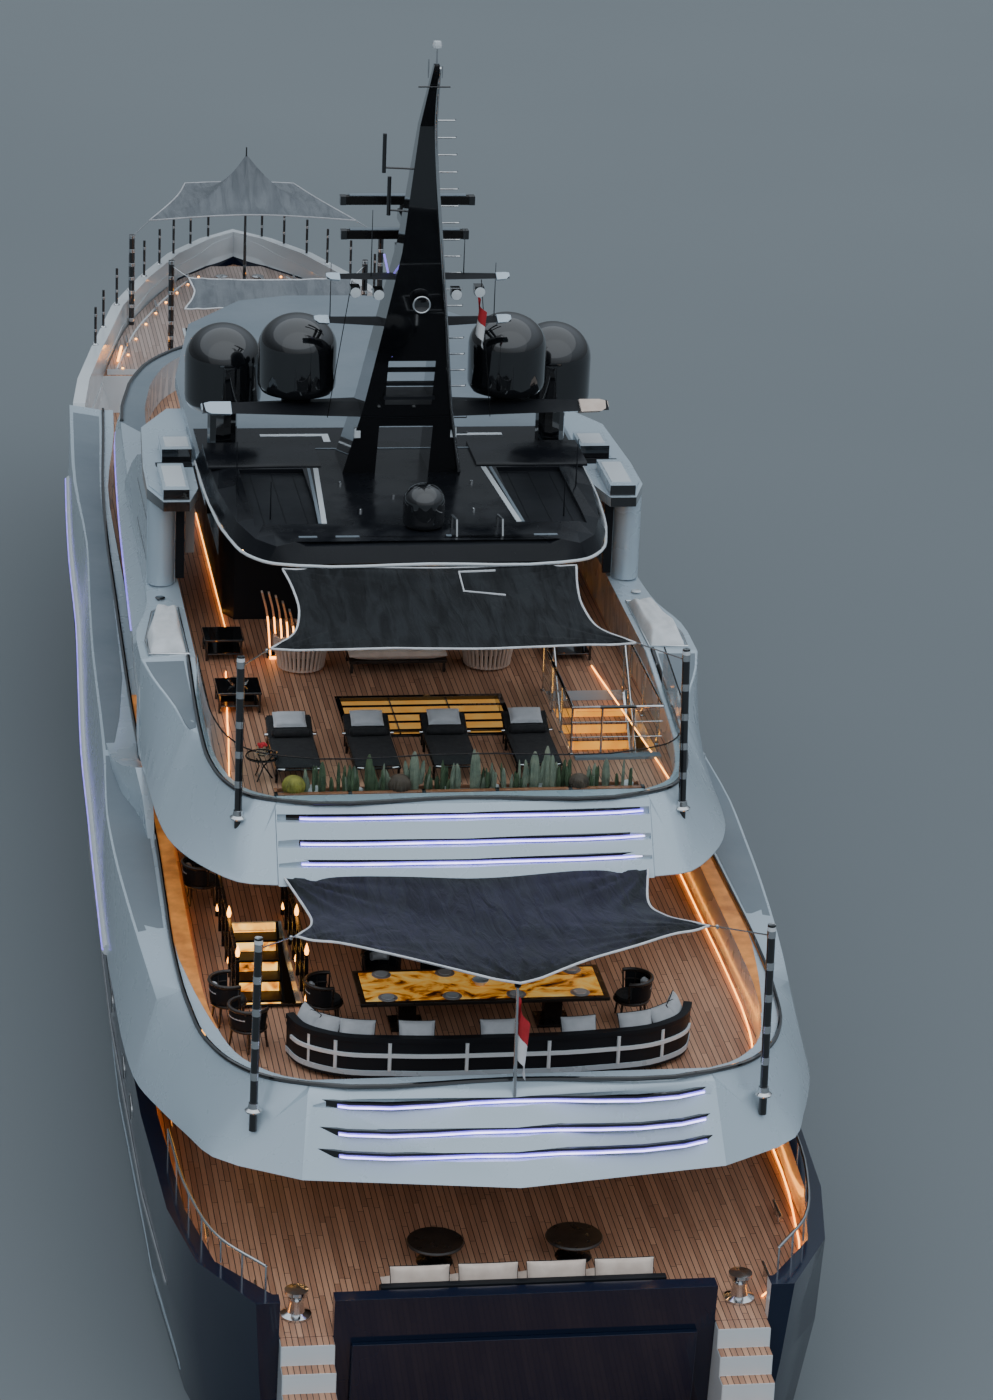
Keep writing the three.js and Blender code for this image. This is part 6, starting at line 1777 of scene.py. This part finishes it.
CEILINGS = [(8.05, 4.35, -16.6, -6.0, 9), (8.05, 2.4, -17.8, -14.2, 4), (5.22, 5.0, -23.0, -6.0, 12),
            (5.22, 2.6, -24.4, -15.6, 6), (11.28, 3.4, -11.6, -7.2, 5), (11.28, 1.2, -12.2, -8.0, 3)]
# Columns: half-breadth, first y, last y, z
WALL_STRIPS = [(3.42, -8.6, -1.0, 8.47), (4.0, -12.6, 6.0, 5.66), (4.8, -15.4, -5.0, 2.96)]


def ceiling_lamps():
    made = Form()
    for z, x, y0, y1, count in CEILINGS:
        for y in (blend(y0, y1, k / (count - 1)) for k in range(count)):
            for side in BOTH:
                made.turned([(0.07, 0), (0.07, -0.02), (AXIS, -0.022)], (side * x, y, z), 16)
    for x, y0, y1, z in WALL_STRIPS:
        for side in BOTH:
            made.pipe([(side * x, y0, z), (side * x, y1, z)], 0.011, 6, 1)
    piece(made, "ceiling_lamps", [WARM, AMBER])


def slatted_screen():
    """Curved slats beside the port armchair, lit from their foot; the amber strips up their lower halves are
    painted light on the slats.
    """
    made, light = Form(), Form()
    for t in (k / 5 for k in range(6)):
        foot = (blend(-2.67, -2.06, t), -9.75 + 0.05 * math.sin(3 * t), BRIDGE_Z)
        top = (blend(-2.98, -2.3, t), -10.95, blend(10.2, 9.6, t * t))
        knee = (blend(foot[0], top[0], 0.35), -10.1, blend(foot[2], top[2], 0.55))
        line = fair([foot, knee, top], 6)
        made.rings([[(x - 0.02, y - 0.05, z), (x + 0.02, y - 0.05, z), (x + 0.02, y + 0.05, z + 0.02),
                     (x - 0.02, y + 0.05, z + 0.02)] for x, y, z in line])
        # Painted light: a glowing strip up each slat's lower half
        light.pipe([(x, y - 0.065, z + 0.01) for x, y, z in line[:len(line) // 2 + 1]], 0.016, 6)
    made.box((-2.75, -1.98), (-9.85, -9.62), (BRIDGE_Z, BRIDGE_Z + 0.06), 1)
    light.box((-2.7, -2.03), (-9.92, -9.87), (BRIDGE_Z + 0.01, BRIDGE_Z + 0.05))
    piece(made, "slatted_screen", [SLATS, BLACK], bevel=0.006)
    piece(light, "screen_lamp_and_painted_glow", [AMBER])


# Foredeck: rings on its poles, stanchions, windlasses, hatches, cleats and lamps
# Columns: y, half-breadth of the bulwark's cap

CAP_LINE = [(16.9, 4.5), (18.5, 4.2), (20.6, 3.72), (22.0, 3.28), (23.4, 2.8), (24.6, 2.3), (25.6, 1.84),
            (26.5, 1.3), (27.2, 0.75)]
# Columns: x, y, top z
FORE_POLES = [(2.5, 17.9, 8.95), (3.3, 21.0, 8.8)]
WINDLASS = [(0.3, 0), (0.3, 0.06), (0.2, 0.1), (0.16, 0.2), (0.18, 0.34), (0.24, 0.38), (0.24, 0.46),
            (AXIS, 0.5)]
CAPSTAN = [(0.26, 0), (0.26, 0.05), (0.15, 0.1), (0.12, 0.26), (0.16, 0.42), (0.2, 0.44), (0.2, 0.5),
           (AXIS, 0.53)]


def cleat(form, x, y, z, height, mark):
    """Two leaning posts under a bar that lies fore and aft."""
    for dy in (-0.14, 0.14):
        form.rod((x, y + dy, z), (x, y + dy * 0.8, z + height), 0.035, sides=10, mark=mark)
    bar = z + height + 0.01
    form.rod((x, y - 0.32, bar), (x, y + 0.32, bar), 0.035, 0.03, 12, mark)


def foredeck_details():
    made, line, lamps, seat, pads = (Form() for _ in range(5))
    z = FOREDECK_Z
    for y, x in CAP_LINE:
        for x in (-x, x):
            made.upright(x, y, 6.95, 8.0, 0.035)
            for ring in (7.35, 7.75):
                made.upright(x, y, ring, ring + 0.07, 0.04, mark=1)
            made.turned([(0.08, 0), (0.08, 0.02), (0.04, 0.05)], (x, y, 7.0), 16, 1)
    for x, y, top in FORE_POLES:
        for x in (-x, x):
            for ring in (blend(z + 0.1, top - 0.1, k / 6) for k in range(7)):
                made.upright(x, y, ring, ring + 0.09, 0.082, sides=20, mark=1)
    for side in BOTH:
        x = side * 0.75
        made.turned(WINDLASS, (x, 23.6, z), 32, 1)
        chain = [(x, 23.9, z + 0.25), (x, 24.6, z + 0.1), (side * 0.5, 25.6, z + 0.06)]
        made.pipe(fair(chain, 5), 0.04, mark=1)
        made.turned([(0.16, 0), (0.17, 0.04), (0.1, 0.06)], (side * 0.5, 25.65, z), 24, 1)
        for y, x in ((19.0, 3.55), (22.4, 2.55), (25.0, 1.45)):
            cleat(made, side * x, y, z, 0.15, 1)
        made.post(side * 1.6, 20.0, 0.4, (z, z + 0.07), 2)
        made.post(side * 1.6, 20.0, 0.33, (z + 0.07, z + 0.1), 3)
    piece(made, "foredeck_fittings", [BLACK, STEEL, WHITE, TINT], smooth=50, bevel=0.006)
    edge = [(x - 0.55, y, z + 0.012) for y, x in fair(CAP_LINE[:-2], 4)]
    for side in BOTH:
        line.pipe(mirrored(edge, side), 0.03, 6)
        for x, y, height in edge[::3]:
            lamps.turned([(0.03, 0), (0.03, 0.03), (AXIS, 0.035)], (side * (x - 0.15), y, height), 12)
        lamps.pipe([(side * 3.9, 17.3, z + 0.1), (side * 3.72, 18.6, z + 0.1)], 0.03, 6)
    piece(line, "foredeck_line", [WHITE])
    piece(lamps, "foredeck_lamps", [AMBER])
    seat.box((-1.9, 1.9), (16.75, 17.5), (z, z + 0.28))
    piece(seat, "foredeck_seat_base", [WHITE], bevel=0.03)
    for x in (-1.24, 0, 1.24):
        cushion(pads, (1.2, 0.7, 0.18), at(x, 17.12, z + 0.36), 0.95)
    piece(pads, "foredeck_seat_pads", [PALE_GREY], smooth=60)


# Aft main deck and stern: capstans, cleats, rails, and a sofa with low tables before the steps

STERN_LINE = [(4.3, -26.55, 3.62), (4.95, -25.55, 3.62), (5.35, -23.9, 3.62), (5.52, -21.5, 3.62)]
SWIM_RAIL = {"x": 3.95, "posts": (-29.3, -28.2, -27.2), "levels": (PLATFORM_Z + 0.5, PLATFORM_Z + 1.0)}


def aft_deck_details():
    made, base, pads, tops = (Form() for _ in range(4))
    posts, levels = SWIM_RAIL["posts"], SWIM_RAIL["levels"]
    for side in BOTH:
        made.turned(CAPSTAN, (side * 3.75, -26.2, MAIN_Z))
        for x, y in ((4.35, -25.6), (5.0, -23.4), (5.25, -19.0)):
            cleat(made, side * x, y, MAIN_Z, 0.16, 0)
        rail = mirrored(STERN_LINE, side)
        made.pipe(fair([(x, y, z + 0.42) for x, y, z in rail], 5), 0.028, 10)
        for x, y, z in fair(rail, 2):
            made.upright(x, y, z - 0.02, z + 0.42, 0.02, sides=10)
        x = side * SWIM_RAIL["x"]
        for y in posts:
            made.upright(x, y, PLATFORM_Z, levels[1], 0.022, sides=10)
        for z in levels:
            made.pipe([(x, posts[0], z), (x, posts[-1], z)], 0.025, 10)
    piece(made, "aft_deck_fittings", [STEEL], smooth=50)
    z = ON_MAIN
    base.box((-2.3, 2.3), (-26.55, -25.65), (z, z + 0.24))
    base.box((-2.4, 2.4), (-26.65, -26.5), (z, z + 0.72))
    for x in (-1.72 + 1.147 * k for k in range(4)):
        cushion(pads, (1.12, 0.86, 0.2), at(x, -26.05, z + 0.34), 0.95, 1)
        cushion(pads, (1.0, 0.5, 0.2), at(x, -26.38, z + 0.68, 0, math.radians(74)), 0.6, 1)
    for x in (-1.2, 1.2):
        tops.turned([(0.32, 0), (0.3, 0.03), (0.08, 0.06), (0.08, 0.34)], (x, -24.5, z), 32)
        tops.turned([(0.48, 0.34), (0.5, 0.37), (0.48, 0.4)], (x, -24.5, z), 40, 1)
    piece(base, "aft_lounge_frame", [MATT_BLACK], bevel=0.02)
    piece(pads, "aft_lounge_cushions", [CREAM, BLACK_CLOTH], smooth=60)
    piece(tops, "aft_lounge_tables", [DARK_METAL, EBONY], smooth=50)


# Hull windows: dark oval lights let into the topsides. Columns: y, z, long, high

HULL_LIGHTS = [
    (-17.6, 2.55, 0.5, 0.4), (-15.9, 2.55, 0.5, 0.4), (-12.4, 2.65, 2.0, 0.5), (-9.2, 2.7, 2.0, 0.5),
    (-6.0, 2.7, 2.0, 0.5), (-1.4, 2.75, 2.0, 0.5), (1.8, 2.8, 2.0, 0.5), (5.0, 2.9, 1.6, 0.5),
    (8.2, 3.1, 1.4, 0.45), (11.0, 3.4, 1.0, 0.42), (13.4, 3.7, 0.5, 0.4), (15.2, 3.85, 0.5, 0.4),
    (17.0, 4.0, 0.5, 0.4),
]
KNUCKLE_Z = 2.0
STRIPE_Z = (0.3, 0.42)
ANCHOR = (19.6, 5.3)
HULL_MESH = frame["nodes"]["hull"].data
HULL_SURFACE = BVHTree.FromPolygons([v.co for v in HULL_MESH.vertices],
                                    [list(p.vertices) for p in HULL_MESH.polygons])


def half_breadth(start, way, y, z):
    """Where a level line across the ship meets the hull, from a start in ship metres."""
    hit = HULL_SURFACE.ray_cast(Vector((start, y, z)) * SHIP, Vector((way, 0, 0)))[0]
    return hit.x / SHIP if hit else 0.02


hull_side = partial(half_breadth, 10, -1)
hull_inside = partial(half_breadth, 0, 1)


def oval_plate(form, y, z, long, high, out, side, mark):
    """A plate with round ends that follows the hull's side."""
    rings = []
    for t in (-math.cos(math.pi * k / 32) for k in range(33)):
        along = t * long / 2
        past = max(0, abs(along) - (long - high) / 2)
        half = max(0.004, math.sqrt(max(0, (high / 2) ** 2 - past ** 2)))
        rings.append([(side * (hull_side(y + along, z + dz) + off), y + along, z + dz)
                      for dz, off in ((half, out), (0, out), (-half, out), (-half, -0.04), (half, -0.04))])
    form.rings(rings, mark)


# Plates outside the foot of the forward bulwarks, and linings inside it. Columns: y, lower and upper z
PLATING = [
    [(11.7, 4.9, 5.4), (12.4, 4.95, 5.8), (14.0, 5.0, 6.1), (15.4, 5.05, 6.3), (16.7, 5.08, 6.36),
     (17.1, 5.1, 6.4), (17.3, 5.1, 6.4)],
    [(20.0, 6.0, 6.5), (23.0, 6.0, 6.7), (25.5, 6.02, 6.8), (26.9, 6.08, 6.85), (27.3, 6.12, 6.9),
     (27.62, 6.3, 6.95)],
]
LININGS = [
    [(12.3, 5.28, 5.7), (14.2, 5.28, 5.95), (16.8, 5.28, 6.1)],
    [(17.4, 6.37, 6.45), (21.0, 6.37, 6.5), (24.0, 6.37, 6.65), (26.5, 6.37, 6.8), (27.25, 6.37, 6.95),
     (27.55, 6.4, 6.97), (27.75, 6.42, 6.98)],
]


def skin(form, table, side, surface, near, far, mark):
    """A thin plate over a part of the hull's surface."""
    rings = []
    for y, low, high in fair(table, 10):
        line = [(surface(y, z), z) for z in (blend(low, high, k / 28) for k in range(29))]
        rings.append([(side * (x + near), y, z) for x, z in line]
                     + [(side * (x + far), y, z) for x, z in reversed(line)])
    form.rings(rings, mark)


def hull_plating():
    made = Form()
    for side in BOTH:
        for table in PLATING:
            skin(made, table, side, hull_side, 0.035, 0.004, 0)
        for table in LININGS:
            skin(made, table, side, hull_inside, -0.02, -0.004, 1)
    piece(made, "hull_plating", [NAVY, WHITE])


def hull_windows():
    made, trim = Form(), Form()
    for y, z, long, high in HULL_LIGHTS:
        for side in BOTH:
            oval_plate(made, y, z, long + 0.12, high + 0.12, 0.012, side, 1)
            oval_plate(made, y, z, long, high, 0.022, side, 0)
    piece(made, "hull_windows", [TINT, STEEL])
    places = [-23.3 + 0.4 * k for k in range(120)]
    section = [(z, off) for off, levels in ((0.015, STRIPE_Z), (-0.04, STRIPE_Z[::-1])) for z in levels]
    y, z = ANCHOR
    for side in BOTH:
        trim.pipe([(side * (hull_side(y, KNUCKLE_Z) + 0.01), y, KNUCKLE_Z) for y in places], 0.035)
        trim.rings([[(side * (hull_side(y, z) + off), y, z) for z, off in section]
                    for y in places if y < 23.6], 1)
        oval_plate(trim, y, z, 0.95, 0.9, 0.01, side, 2)
        foot = y, z - 0.3
        for start, end in (((y, z + 0.34), foot), (foot, (y - 0.3, z - 0.02)), (foot, (y + 0.3, z - 0.02))):
            trim.rod(*[(side * (hull_side(*p) + 0.07), *p) for p in (start, end)], 0.055, 0.04)
    piece(trim, "hull_trim", [STEEL, SILVER, MATT_BLACK], smooth=50)


locker_covers()
ceiling_lamps()
slatted_screen()
foredeck_details()
aft_deck_details()
hull_plating()
hull_windows()
